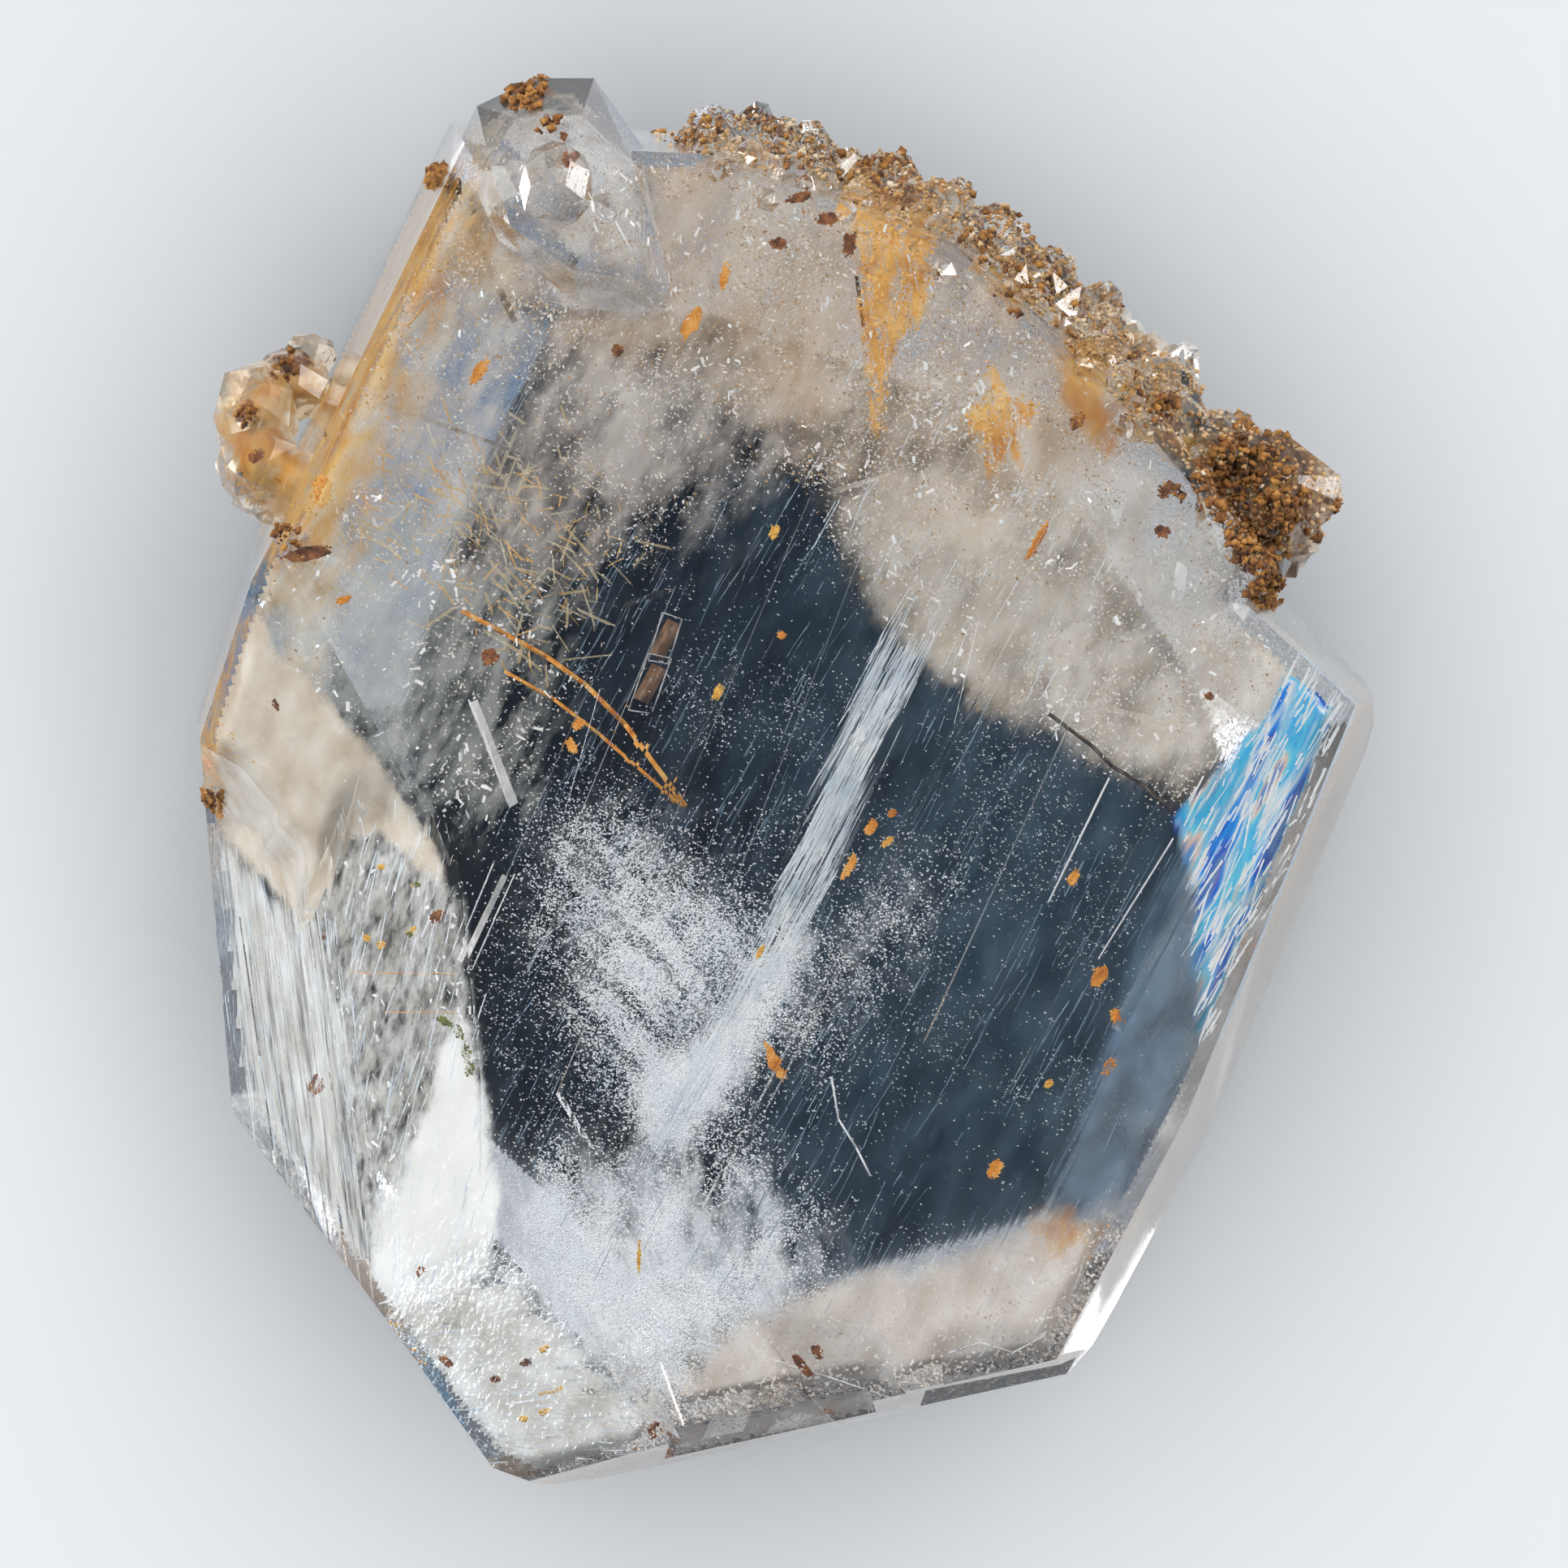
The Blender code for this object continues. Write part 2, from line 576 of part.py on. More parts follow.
def quartz_material():
    material = bpy.data.materials.new("clear_quartz")
    material.use_nodes = True
    shader = material.node_tree.nodes["Principled BSDF"]
    shader.inputs["Base Color"].default_value = QUARTZ_COLOR
    shader.inputs["Roughness"].default_value = QUARTZ_ROUGHNESS
    shader.inputs["Metallic"].default_value = 0.0
    shader.inputs["IOR"].default_value = QUARTZ_IOR
    shader.inputs["Transmission Weight"].default_value = 1.0
    return material


def main():
    clear_scene()
    rng = random.Random(SEED)
    body = big_crystal()
    shape_left_side(body)
    for outline, rise in PLATES:
        add_plate(body, outline, rise)
    for form in RIDGES:
        ridge(body, *form)
    for outline, edge in STEPS.values():
        carve(body, outline, plane_from_edge(*edge))
    combine(body, lump(NOTCH_CENTRE, 1.0, NOTCH_SIZE, rng, HOLLOW_CORNERS), "DIFFERENCE")
    add_small_crystals(body, rng)
    add_druse(body, rng)
    rest_on_origin(body)
    body.data.materials.clear()
    body.data.materials.append(quartz_material())


main()
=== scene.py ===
"""The looks of a clear quartz crystal: its glass, what is caught inside it, its crusts, and some
painted highlights, reflections and shade.

Every place is in millimetres of the crystal's own frame: X right, Y up and Z towards the front
face, with the origin in the middle of the face that it lies on. A zone says where things lie, as
seen from above. Hazes are thin sheets that follow the faces at a depth and keep at their corners
how dense they are. All the rest is made of small flat plates, rods and grains.
"""

import math

import bmesh
import bpy
import numpy as np
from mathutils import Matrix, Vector
from mathutils.bvhtree import BVHTree


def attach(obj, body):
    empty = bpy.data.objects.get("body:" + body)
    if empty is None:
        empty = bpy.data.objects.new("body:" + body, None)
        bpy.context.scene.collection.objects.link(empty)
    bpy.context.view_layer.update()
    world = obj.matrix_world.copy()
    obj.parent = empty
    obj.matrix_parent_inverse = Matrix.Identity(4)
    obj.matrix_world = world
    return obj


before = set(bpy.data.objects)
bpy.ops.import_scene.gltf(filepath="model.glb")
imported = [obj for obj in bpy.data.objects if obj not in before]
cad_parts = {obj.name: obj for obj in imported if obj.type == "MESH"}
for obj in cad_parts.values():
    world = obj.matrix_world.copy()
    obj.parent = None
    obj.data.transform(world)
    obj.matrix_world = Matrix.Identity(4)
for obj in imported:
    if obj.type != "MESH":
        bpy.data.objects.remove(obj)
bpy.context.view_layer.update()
BODY = "root"
NODE = "quartz_crystal"
MM = 0.001

# The photograph's frame, in millimetres and in pixels, with the pixel that lies over the origin.
FRAME_PIXELS = 1932
FRAME_SIZE = 44.57
PIXEL = FRAME_SIZE / FRAME_PIXELS
CENTRE_PIXEL = (967.5, 967.0)
LENS = 400.0
SENSOR = 36.0
IN_FOCUS = 12.0
CLIP = (0.01, 10.0)

# The direction of the growth lines on the front face, and the angles from X of the lines on it,
# on the two narrow faces at the left and on the foot.
LINE = (-0.471, -0.882)
LINE_ANGLE = math.atan2(LINE[1], LINE[0])
OUTER_ANGLE = math.radians(94)
INNER_ANGLE = math.radians(66)
FOOT_ANGLE = math.radians(14)

# The height maps: their pitch, their corner, and how many cells they have.
CELL = 0.1
MAP_LOW = (-17.5, -20.8)
MAP_CELLS = (350, 416)
ABOVE = 40.0
NOISE_TABLE = 64

# The room inside the crystal: the cells kept clear at a rim, how far its roof is softened, its
# gap over the lower faces and its least height, then how far slopes are softened and limited.
RIM_CELLS = 3
ROOF_BLUR = 0.4
GAP = 0.3
LEAST_ROOM = 0.6
SLOPE_BLUR = 0.6
SLOPE_LIMIT = 2.0

# Places on the faces: how many there are to choose from, the heights that they start at, and the
# way that a face looks when nothing lies on it.
SKIN_SEED = 11
SKIN_COUNT = 600000
LOWEST = 2.0
MID_HEIGHT = 5.0
CRUST_HEIGHT = 9.0
DOWNWARD = -1.0

# Sheets: the name of their density and the least that is kept, how much a cell may rise, and how
# much they wave, with the cells between their corners.
COVER = "cover"
LEAST_COVER = 0.01
STEEPEST = 0.5
STEEP = 3.0
COARSE = (0.4, 2)
FINE = (0.2, 1)
FLAT = (0.1, 1)

# Plates, specks and flat pieces.
PLATE_CORNERS = 5
SPECK_CORNERS = 11
SPECK_GRAINS = 42
SPECK_LAYER = 0.12
INWARD = 0.985
INWARD_STEPS = 16
FLAT_RISE = 0.4
FLAT_COVER = 0.7

# The seeds of what chance draws.
SEEDS = {
    "rim": 151, "flecks": 161, "snow": 201, "glints": 231, "lines": 301, "rainbow": 401,
    "rust": 501, "stains": 601, "crusts": 701,
}

# The glass: its roughness where it is clean and where it is stained, and the colour of the stain.
IOR = 1.544
ROUGHNESS = (0.03, 0.32)
WHITE = (1.0, 1.0, 1.0)
STAIN_TINT = (0.90, 0.66, 0.36, 1.0)
STAIN_CORE = 0.3
STAIN_STRENGTH = 1.8

# The floor and the sky, in metres.
FLOOR_RADIUS = 3.0
FLOOR_SIDES = 96
FLOOR_Z = -0.0002
SKY = ((0.0, (0.62, 0.62, 0.63, 1.0)), (0.85, (0.16, 0.22, 0.32, 1.0)))

# The lights: the place, size, power, colour and aim of each, in metres and watts.
MIDDLE = (0.0, 0.0, 0.009)
PANELS = {
    "key": ((-0.25, 0.30, 0.40), (0.20, 0.20), 2.2, (1.0, 0.98, 0.95), MIDDLE),
    "fill": ((-0.42, -0.20, 0.12), (0.25, 0.12), 1.2, (0.92, 0.96, 1.0), MIDDLE),
    "rim": ((0.40, 0.15, 0.16), (0.20, 0.14), 1.2, (1.0, 0.97, 0.93), MIDDLE),
}
FLOOR_LIGHT = ((0.0, 0.0, 0.9), (1.2, 1.2), 14.0, WHITE, (0.0, 0.0, 0.0))
CRUSTS = ("druse_grains", "limonite_crust")

# How far light is followed through the glass, and the noise at which a pixel is clean enough.
CYCLES = {
    "caustics_reflective": False,
    "caustics_refractive": False,
    "max_bounces": 10,
    "transmission_bounces": 10,
    "diffuse_bounces": 1,
    "transparent_max_bounces": 24,
    "adaptive_threshold": 0.1,
}

# Zones seen from above. Each is an outline in millimetres.
ZONE_TOP = (
    (-12.6, 12.4), (-10.8, 15.4), (-8.5, 17.9), (-3.9, 18.6), (-0.3, 18.2), (3.8, 16.5),
    (7.9, 13.4), (10.9, 10.8), (10.0, 8.5), (5.0, 7.5), (1.2, 8.5), (-0.2, 9.9), (-2.9, 11.5),
    (-7.5, 12.6),
)
ZONE_GREY = (
    (-12.4, 12.2), (-9.4, 13.5), (-6.2, 13.1), (-2.5, 12.2), (-0.2, 10.3), (1.0, 8.5),
    (-1.6, 8.7), (-2.9, 7.5), (-4.8, 6.6), (-6.6, 6.2), (-10.8, 7.5), (-12.6, 8.5),
)
ZONE_RIGHT = (
    (0.8, 11.5), (4.2, 11.9), (7.7, 10.3), (12.3, 7.5), (14.1, 6.2), (14.6, 4.1), (12.8, 0.9),
    (10.9, -0.8), (9.3, 0.7), (8.4, 0.9), (7.3, 2.1), (5.4, 2.2), (4.2, 3.9), (2.1, 5.7),
    (1.0, 7.8),
)
ZONE_LEFT = (
    (-14.7, 7.5), (-11.9, 8.5), (-8.5, 7.1), (-6.4, 5.7), (-6.4, 1.6), (-7.6, -0.8),
    (-9.2, -1.0), (-11.5, 0.2), (-13.1, 2.5), (-14.9, 5.2),
)
ZONE_FLANK = (
    (-9.4, 17.6), (-7.9, 15.2), (-7.4, 12.6), (-9.5, 10.8), (-12.0, 9.0), (-12.6, 6.0),
    (-12.8, 3.4), (-13.6, 1.6), (-15.8, 1.0), (-16.7, 2.2), (-15.9, 5.2), (-14.4, 7.3),
    (-14.1, 10.4), (-12.0, 14.2),
)
ZONE_BOTTOM = (
    (1.2, -14.3), (3.5, -13.9), (6.1, -13.2), (7.4, -12.3), (9.4, -12.8), (9.8, -13.7),
    (8.6, -16.0), (6.5, -17.3), (3.1, -18.3), (-0.2, -18.3), (-2.9, -19.1), (-3.4, -17.8),
    (-2.0, -16.0), (-0.2, -14.8),
)
ZONE_SNOW_LOW = (
    (-7.6, -13.9), (-7.3, -12.3), (-6.4, -11.1), (-4.8, -10.9), (-2.7, -11.4), (-0.9, -11.8),
    (0.5, -13.0), (1.0, -14.4), (-0.6, -15.1), (-2.5, -16.5), (-3.4, -17.4), (-5.3, -16.0),
    (-6.6, -15.1),
)
ZONE_SNOW = (
    (-6.4, -1.5), (-4.8, -1.1), (-2.5, -2.5), (-1.0, -4.7), (0.2, -5.4), (-0.6, -7.0),
    (-1.8, -8.4), (-3.2, -10.1), (-3.9, -9.4), (-4.7, -7.2), (-6.1, -5.1), (-6.6, -3.1),
)
ZONE_SNOW_TIP = (
    (-3.2, -10.1), (-3.9, -9.3), (-4.1, -8.1), (-3.2, -7.9), (-2.0, -7.5), (-0.9, -6.1),
    (0.4, -4.2), (0.8, -4.2), (-0.2, -5.8), (-1.6, -8.4),
)
ZONE_SNOW_RIGHT = (
    (0.8, -5.4), (2.1, -3.5), (3.3, -2.6), (4.2, -2.7), (3.8, -4.2), (2.1, -5.4), (1.4, -7.7),
    (0.5, -6.8),
)
ZONE_RIBBON = (
    (2.6, 3.9), (4.0, 3.9), (2.1, -0.1), (1.0, -3.1), (-0.2, -5.1), (-1.9, -7.7), (-3.2, -9.9),
    (-3.6, -9.8), (-2.7, -7.7), (-1.6, -6.0), (-0.6, -4.2), (0.1, -2.6), (1.2, 0.2),
)
ZONE_WINDOW = (
    (-8.9, -5.5), (-7.6, -0.8), (-6.2, 0.9), (-6.2, 5.7), (-3.9, 7.5), (-1.6, 9.2), (0.8, 8.5),
    (2.1, 5.2), (4.2, 3.9), (5.4, 2.2), (7.3, 2.1), (9.3, 0.7), (10.9, -0.9), (11.6, -5.4),
    (11.7, -7.6), (10.5, -10.9), (8.4, -12.1), (6.5, -13.2), (1.2, -14.3), (-7.5, -13.9),
    (-8.5, -8.8),
)
# Where a dark sheet of painted shade lies at the window's right-hand side.
ZONE_PAINTED_SHADE = (
    (11.2, -1.6), (11.7, -4.4), (11.7, -7.6), (10.0, -11.4), (8.0, -12.2), (7.4, -11.6),
    (8.8, -8.0), (10.4, -3.5),
)
ZONE_OUTER_A = (
    (-16.5, -1.2), (-15.4, -1.9), (-14.2, -3.3), (-13.0, -3.8), (-12.4, -6.5), (-11.8, -12.3),
    (-11.5, -14.6), (-12.6, -14.4), (-15.4, -10.4), (-16.2, -6.5),
)
ZONE_B = (
    (-13.0, -3.8), (-12.6, -0.8), (-11.3, -0.5), (-9.9, -1.6), (-9.1, -3.3), (-8.7, -7.7),
    (-8.3, -13.7), (-9.9, -14.1), (-11.4, -14.4), (-11.9, -10.0), (-12.4, -6.5),
)
# Where the inner face mirrors the light, painted as a bright white sheet.
ZONE_B_REFLECTION = (
    (-9.0, -6.5), (-8.6, -9.0), (-8.2, -13.6), (-9.9, -14.2), (-11.5, -14.8), (-11.2, -12.5),
    (-10.2, -9.5),
)
ZONE_FOOT = (
    (-11.4, -14.6), (-9.4, -14.0), (-7.6, -14.1), (-3.9, -17.6), (-2.9, -19.0), (-6.2, -19.9),
    (-8.7, -19.3), (-10.8, -17.0),
)
ZONE_LEDGE = (
    (-15.4, 5.9), (-14.2, 3.7), (-12.6, 2.1), (-11.1, 0.3), (-10.0, -1.2), (-9.4, -2.7),
    (-10.2, -2.2), (-11.3, -1.2), (-12.3, -1.3), (-13.1, -2.6), (-13.3, -3.9), (-13.9, -3.3),
    (-15.0, -2.2), (-15.9, -1.1), (-16.4, -0.4), (-16.7, 0.8), (-16.3, 2.7), (-15.8, 4.8),
)
ZONE_IRIS = (
    (14.5, 4.7), (14.5, 3.7), (13.9, 2.7), (13.8, 2.0), (12.9, 1.2), (12.0, -0.1),
    (11.0, -0.9), (11.2, -1.9), (11.5, -3.0), (11.5, -5.4), (11.6, -7.5), (12.3, -6.3),
    (13.7, -3.3), (14.8, -0.1), (15.5, 1.6), (16.1, 3.0),
)
ZONE_BEVEL = (
    (16.1, 3.0), (16.7, 1.9), (14.4, -4.1), (12.0, -10.1), (8.7, -15.9), (8.1, -16.5),
    (9.5, -13.1), (11.7, -7.6), (13.4, -4.1), (14.6, -2.1), (15.6, 0.1),
)
ZONE_BLADE = (
    (2.0, 17.6), (3.1, 17.3), (4.3, 15.4), (3.9, 14.7), (4.2, 14.3), (3.9, 13.2), (3.2, 12.6),
    (2.9, 11.5), (2.7, 9.7), (2.5, 11.5), (2.2, 13.1), (2.0, 14.7), (1.8, 16.3),
)
ZONE_STAR = (
    (4.8, 10.4), (5.7, 10.8), (5.9, 11.9), (6.2, 11.0), (7.1, 10.7), (6.4, 10.0), (6.7, 8.7),
    (6.2, 9.4), (5.7, 8.5), (5.6, 9.7),
)
ZONE_BLOTCH = (
    (7.6, 12.3), (8.6, 12.5), (9.0, 11.7), (8.8, 10.7), (9.3, 9.0), (8.6, 9.4), (7.9, 10.7),
)
ZONE_DRUSE_PATCH = (
    (5.1, 16.5), (6.3, 16.1), (7.3, 14.9), (7.0, 13.5), (6.2, 13.0), (5.7, 14.5), (5.1, 15.4),
)
ZONE_DRUSE = (
    (-4.0, 19.2), (-3.6, 18.2), (1.5, 17.0), (5.0, 15.4), (7.3, 13.4), (9.0, 11.4),
    (10.4, 9.6), (11.8, 8.4), (13.2, 6.2), (15.5, 7.2), (16.4, 8.5), (14.5, 10.2),
    (10.6, 12.2), (8.8, 15.0), (5.6, 17.0), (0.5, 19.0),
)
ZONE_LIMONITE = (
    (11.5, 8.5), (12.1, 9.4), (13.0, 10.1), (13.7, 9.4), (14.5, 8.5), (14.1, 7.3), (13.4, 6.0),
    (12.5, 6.4), (12.1, 7.3),
)
ZONE_OCHRE_LEFT = (
    (-9.9, 17.8), (-10.8, 16.0), (-11.9, 14.2), (-12.9, 12.4), (-13.4, 11.2), (-14.2, 9.4),
    (-14.7, 7.5), (-14.0, 6.9), (-12.9, 7.1), (-12.6, 8.7), (-11.9, 10.3), (-11.5, 12.2),
    (-10.3, 14.5), (-9.4, 16.3),
)
ZONE_OCHRE_EDGE = (
    (-15.6, 5.2), (-15.8, 3.9), (-16.5, 2.5), (-16.6, 0.2), (-16.2, -1.0), (-15.4, 0.2),
    (-15.6, 1.5), (-15.3, 3.4), (-14.9, 4.8),
)
ZONE_YELLOW = (
    (-12.6, 9.5), (-9.5, 9.8), (-7.0, 9.0), (-4.8, 7.8), (-4.9, 4.5), (-7.2, 3.6), (-9.0, 4.8),
    (-12.0, 6.2),
)
ZONE_ORANGE_CLOUD = ((7.1, -12.0), (8.2, -11.9), (8.8, -12.6), (8.6, -13.3), (7.4, -13.2))
ZONE_TOP_CRYSTAL = (
    (-9.2, 18.7), (-8.9, 16.8), (-7.3, 14.2), (-5.6, 13.2), (-3.4, 13.1), (-3.7, 16.2),
    (-3.9, 17.6), (-4.0, 18.9), (-5.5, 19.9), (-7.1, 19.9),
)
ZONE_KNOB = (
    (-14.0, 12.3), (-15.2, 12.0), (-16.3, 11.0), (-16.4, 9.5), (-15.4, 7.7), (-14.2, 8.6),
    (-13.4, 10.6),
)

# Marks: the middle, length, width and angle of each, in millimetres and degrees.
RUST_SPECKS = (
    (-8.6, 11.6, 0.9, 0.4, 55), (-2.6, 13.0, 1.2, 0.45, 60), (-1.7, 14.3, 0.8, 0.3, 80),
    (-6.0, 1.1, 0.5, 0.3, 120), (-5.8, 1.7, 0.4, 0.3, 30), (5.9, -10.8, 0.6, 0.4, 60),
    (7.1, 6.9, 1.4, 0.25, 62), (-0.1, 4.2, 0.25, 0.2, 0), (8.8, -5.4, 0.7, 0.45, 60),
    (9.3, -6.5, 0.5, 0.3, 100), (8.1, -2.6, 0.5, 0.3, 60), (9.1, -7.9, 0.6, 0.35, 50),
    (-0.3, -7.8, 1.3, 0.35, 118), (-16.2, 0.9, 0.7, 0.4, 90), (-15.9, -0.6, 0.9, 0.6, 90),
    (2.4, -1.2, 0.5, 0.3, 62), (1.8, -2.3, 0.9, 0.3, 62), (-12.4, 5.2, 0.5, 0.2, 20),
    (-13.0, 8.2, 1.0, 0.7, 100), (3.0, -0.8, 0.3, 0.2, 20), (-13.1, 2.0, 0.3, 0.2, 0),
)
BROWN_SPECKS = (
    (-4.7, 12.2, 0.35, 0.35, 0), (-13.4, 6.5, 1.5, 0.4, 12), (-8.3, 3.6, 0.6, 0.5, 30),
    (-13.1, -8.5, 0.7, 0.5, 70), (-9.7, -3.7, 0.5, 0.35, 30), (-10.2, -13.7, 0.3, 0.15, 40),
    (-9.5, -16.2, 0.45, 0.25, 140), (-8.1, -16.7, 0.3, 0.2, 0), (-7.2, -16.2, 0.4, 0.2, 20),
    (-3.6, -18.1, 0.5, 0.35, 130), (-3.2, -18.4, 0.4, 0.2, 150), (-3.4, -18.8, 0.6, 0.3, 10),
    (-4.6, -19.2, 0.7, 0.3, 15), (-5.4, -19.6, 0.6, 0.25, 20), (8.2, 10.2, 0.6, 0.4, 60),
    (1.8, 15.2, 0.8, 0.4, 80), (13.7, 5.4, 0.9, 0.6, 20), (10.7, 10.8, 0.7, 0.7, 0),
    (10.6, 7.1, 0.45, 0.4, 0), (10.7, 8.3, 0.6, 0.4, 50), (10.9, 10.1, 0.35, 0.3, 0),
    (0.9, -15.9, 0.5, 0.3, 120), (0.5, -16.3, 0.9, 0.3, 128), (1.2, -17.6, 0.4, 0.15, 160),
    (-14.3, 2.3, 0.35, 0.12, 120), (0.4, 16.5, 0.9, 0.3, 20), (1.2, 15.9, 0.7, 0.4, 10),
    (-0.2, 15.2, 0.5, 0.4, 0), (-12.9, -4.3, 0.2, 0.15, 0), (11.9, 2.5, 0.25, 0.2, 0),
    (-15.3, 10.6, 0.6, 0.4, 60), (-15.0, 9.3, 0.5, 0.3, 20), (-14.0, 11.8, 0.9, 0.35, 10),
    (-6.8, 19.4, 0.6, 0.3, 20), (-6.1, 17.4, 0.4, 0.3, 80), (-7.3, 19.0, 0.3, 0.2, 0),
)
AMBER_SPECKS = (
    (-11.7, -4.3, 0.25, 0.2, 0), (-11.3, -4.5, 0.25, 0.2, 0), (-10.4, -4.1, 0.3, 0.15, 40),
    (-10.3, -2.8, 0.25, 0.12, 0), (-11.3, -2.3, 0.2, 0.15, 0), (-6.7, -15.8, 0.35, 0.15, 20),
    (-6.7, -17.6, 0.35, 0.15, 20), (-7.3, -17.8, 0.25, 0.15, 0), (-4.0, -18.9, 0.45, 0.25, 20),
    (-6.5, -17.0, 0.8, 0.12, 15), (-0.3, 7.1, 0.45, 0.25, 70), (-11.0, -15.3, 1.1, 0.12, 118),
    (-10.5, -16.5, 0.8, 0.15, 130), (-4.1, -13.3, 1.0, 0.08, 88), (-1.9, 2.6, 0.5, 0.2, 62),
    (2.9, -1.6, 0.5, 0.2, 30), (-0.7, -4.7, 0.4, 0.15, 60), (7.4, -8.4, 0.3, 0.2, 40),
)
OLIVE_SPECKS = (
    (-9.5, -6.65, 0.5, 0.2, 150), (-9.1, -6.95, 0.5, 0.25, 120), (-8.9, -7.5, 0.7, 0.3, 100),
    (-8.8, -8.0, 0.4, 0.25, 60), (-10.3, -2.8, 0.2, 0.15, 0), (-10.5, -4.2, 0.2, 0.12, 0),
)

# Lines: the points, the thickness and the depth of each.
DARK_NEEDLES = (
    (((-9.9, 17.4), (-9.1, 16.3), (-7.6, 13.0)), 0.20, 1.0),
    (((-9.4, 17.0), (-8.7, 16.1)), 0.45, 0.7),
    (((-11.5, 10.8), (-6.8, 9.1)), 0.11, 1.6),
    (((-13.2, 10.4), (-12.9, 9.7)), 0.08, 0.5),
    (((2.0, 14.3), (2.2, 12.9)), 0.10, 0.8),
    (((7.4, 2.0), (8.6, 1.1), (9.2, 0.5), (10.0, 0.05), (10.9, -0.8)), 0.11, 0.3),
    (((-0.6, -15.4), (0.1, -16.4), (0.8, -17.0), (1.5, -17.8)), 0.05, 0.35),
)
ORANGE_LINES = (
    (((-9.1, 4.9), (-7.8, 4.2), (-6.7, 3.6), (-5.6, 2.8), (-4.5, 1.7), (-2.8, -0.6)), 0.14, 1.2),
    (((-7.9, 3.2), (-6.5, 2.4), (-5.2, 1.4), (-2.9, -0.6)), 0.10, 1.3),
    (((-12.2, -5.3), (-9.1, -5.3)), 0.04, 0.4),
    (((-11.2, -6.4), (-8.9, -6.4)), 0.04, 0.4),
    (((-12.0, 13.6), (-10.6, 12.9), (-10.0, 13.6)), 0.05, 0.4),
)
WHITE_CRACKS = (
    (((1.3, -8.2), (1.5, -9.4), (2.0, -10.2), (2.4, -11.0)), 0.06, 0.6),
    (((-0.8, -15.4), (-0.1, -16.4), (0.6, -17.0), (1.4, -17.8)), 0.05, 0.4),
    (((-3.8, -14.7), (-2.5, -15.6), (1.2, -16.6), (4.4, -17.8)), 0.05, 0.3),
    (((4.6, -15.9), (5.5, -15.6), (6.4, -15.9), (7.3, -15.4)), 0.05, 0.3),
    (((-8.9, 2.4), (-8.5, 1.5), (-7.8, -0.5)), 0.05, 0.6),
    (((-9.2, -4.6), (-8.2, -2.2)), 0.04, 0.5),
    (((-8.8, -5.2), (-7.6, -2.5)), 0.04, 0.4),
    (((9.1, 0.2), (7.4, -3.3)), 0.06, 0.3),
    (((10.9, -1.5), (8.8, -4.9)), 0.05, 0.3),
    (((-6.2, -0.8), (-5.2, 2.7)), 0.02, 0.5),
    (((4.7, 1.5), (5.4, 4.5)), 0.02, 0.4),
    (((-5.8, 16.6), (-4.8, 15.8), (-4.2, 14.6)), 0.07, 0.3),
)

# Two brown cells in the window: their corners, then the thickness and depth of their rims, and
# the half length, thickness and depth of what fills them.
CELL_INCLUSIONS = (
    ((-3.45, 4.85), (-2.9, 4.65), (-3.3, 3.4), (-3.85, 3.5)),
    ((-3.85, 3.7), (-3.2, 3.55), (-3.75, 2.0), (-4.4, 2.1)),
)
CELL_RIM = (0.04, 0.9)
CELL_HALF = 0.55
CELL_FILLING = (0.45, 1.2)

# Painted highlights: flat white pieces where facets and sparkles catch the light, with one milky
# patch among them; the corners and the depth of each.
FACET_GLOWS = (
    (((-8.7, 17.2), (-7.9, 17.3), (-7.5, 16.5), (-8.2, 16.0)), 0.3),
    (((-4.9, 19.2), (-4.1, 18.9), (-4.2, 18.2)), 0.15),
    (((4.3, -16.0), (6.2, -15.8), (7.9, -16.2), (7.0, -17.1), (4.8, -17.6)), 0.2),
    (((-3.75, -16.7), (-3.9, -17.8), (-2.95, -18.4)), 0.2),
    (((0.1, -17.0), (-0.65, -18.2), (1.4, -17.8)), 0.2),
    (((-2.0, -17.2), (-0.8, -16.5), (-1.2, -18.3), (-2.4, -18.8)), 0.25),
    (((11.0, 6.3), (11.3, 6.1), (11.2, 5.4), (10.9, 5.6)), 0.15),
    (((12.3, 5.2), (13.1, 5.0), (12.9, 4.6)), 0.15),
    (((9.1, 7.8), (9.5, 7.7), (9.3, 7.3)), 0.15),
    (((-8.9, 2.3), (-8.65, 2.4), (-7.5, -0.5), (-7.75, -0.65)), 0.5),
    (((-9.1, -4.9), (-8.95, -5.0), (-7.8, -2.6), (-7.95, -2.5)), 0.4),
)

# Brown crusts: the middle and the reach of each.
CRUST_SPOTS = (
    (-7.3, 19.5, 0.7), (-6.5, 18.5, 0.5), (-9.9, 17.3, 0.4), (-14.2, 11.9, 0.5),
    (-15.3, 10.4, 0.4), (-13.9, 7.0, 0.5), (13.6, 5.5, 0.6), (10.7, 10.7, 0.4),
    (11.0, 8.2, 0.3), (-16.3, -0.4, 0.4),
)

# Where iron stains the glass itself: the middle and the reach of each place.
STAINED = (
    (-14.6, 10.6, 12.0, 4.0), (-7.0, 19.2, 16.0, 1.8), (4.5, 18.0, 13.0, 4.6),
    (9.3, 13.2, 13.0, 3.2), (13.8, 8.6, 13.0, 4.6),
)

# The forms of grains: corner directions, and faces of three corners each.
FOUR_SIDED = (
    ((1, 1, 1), (1, -1, -1), (-1, 1, -1), (-1, -1, 1)),
    ((0, 1, 3), (0, 2, 1), (0, 3, 2), (1, 2, 3)),
)
EIGHT_SIDED = (
    ((1, 0, 0), (-1, 0, 0), (0, 1, 0), (0, -1, 0), (0, 0, 1), (0, 0, -1)),
    ((0, 2, 4), (2, 1, 4), (1, 3, 4), (3, 0, 4), (2, 0, 5), (1, 2, 5), (3, 1, 5), (0, 3, 5)),
)

pieces = []


def mm(point):
    """A point given in millimetres, in metres."""
    return Vector(point) * MM


def link(obj):
    bpy.context.scene.collection.objects.link(obj)
    return obj


def seeded(name):
    return np.random.default_rng(SEEDS[name])


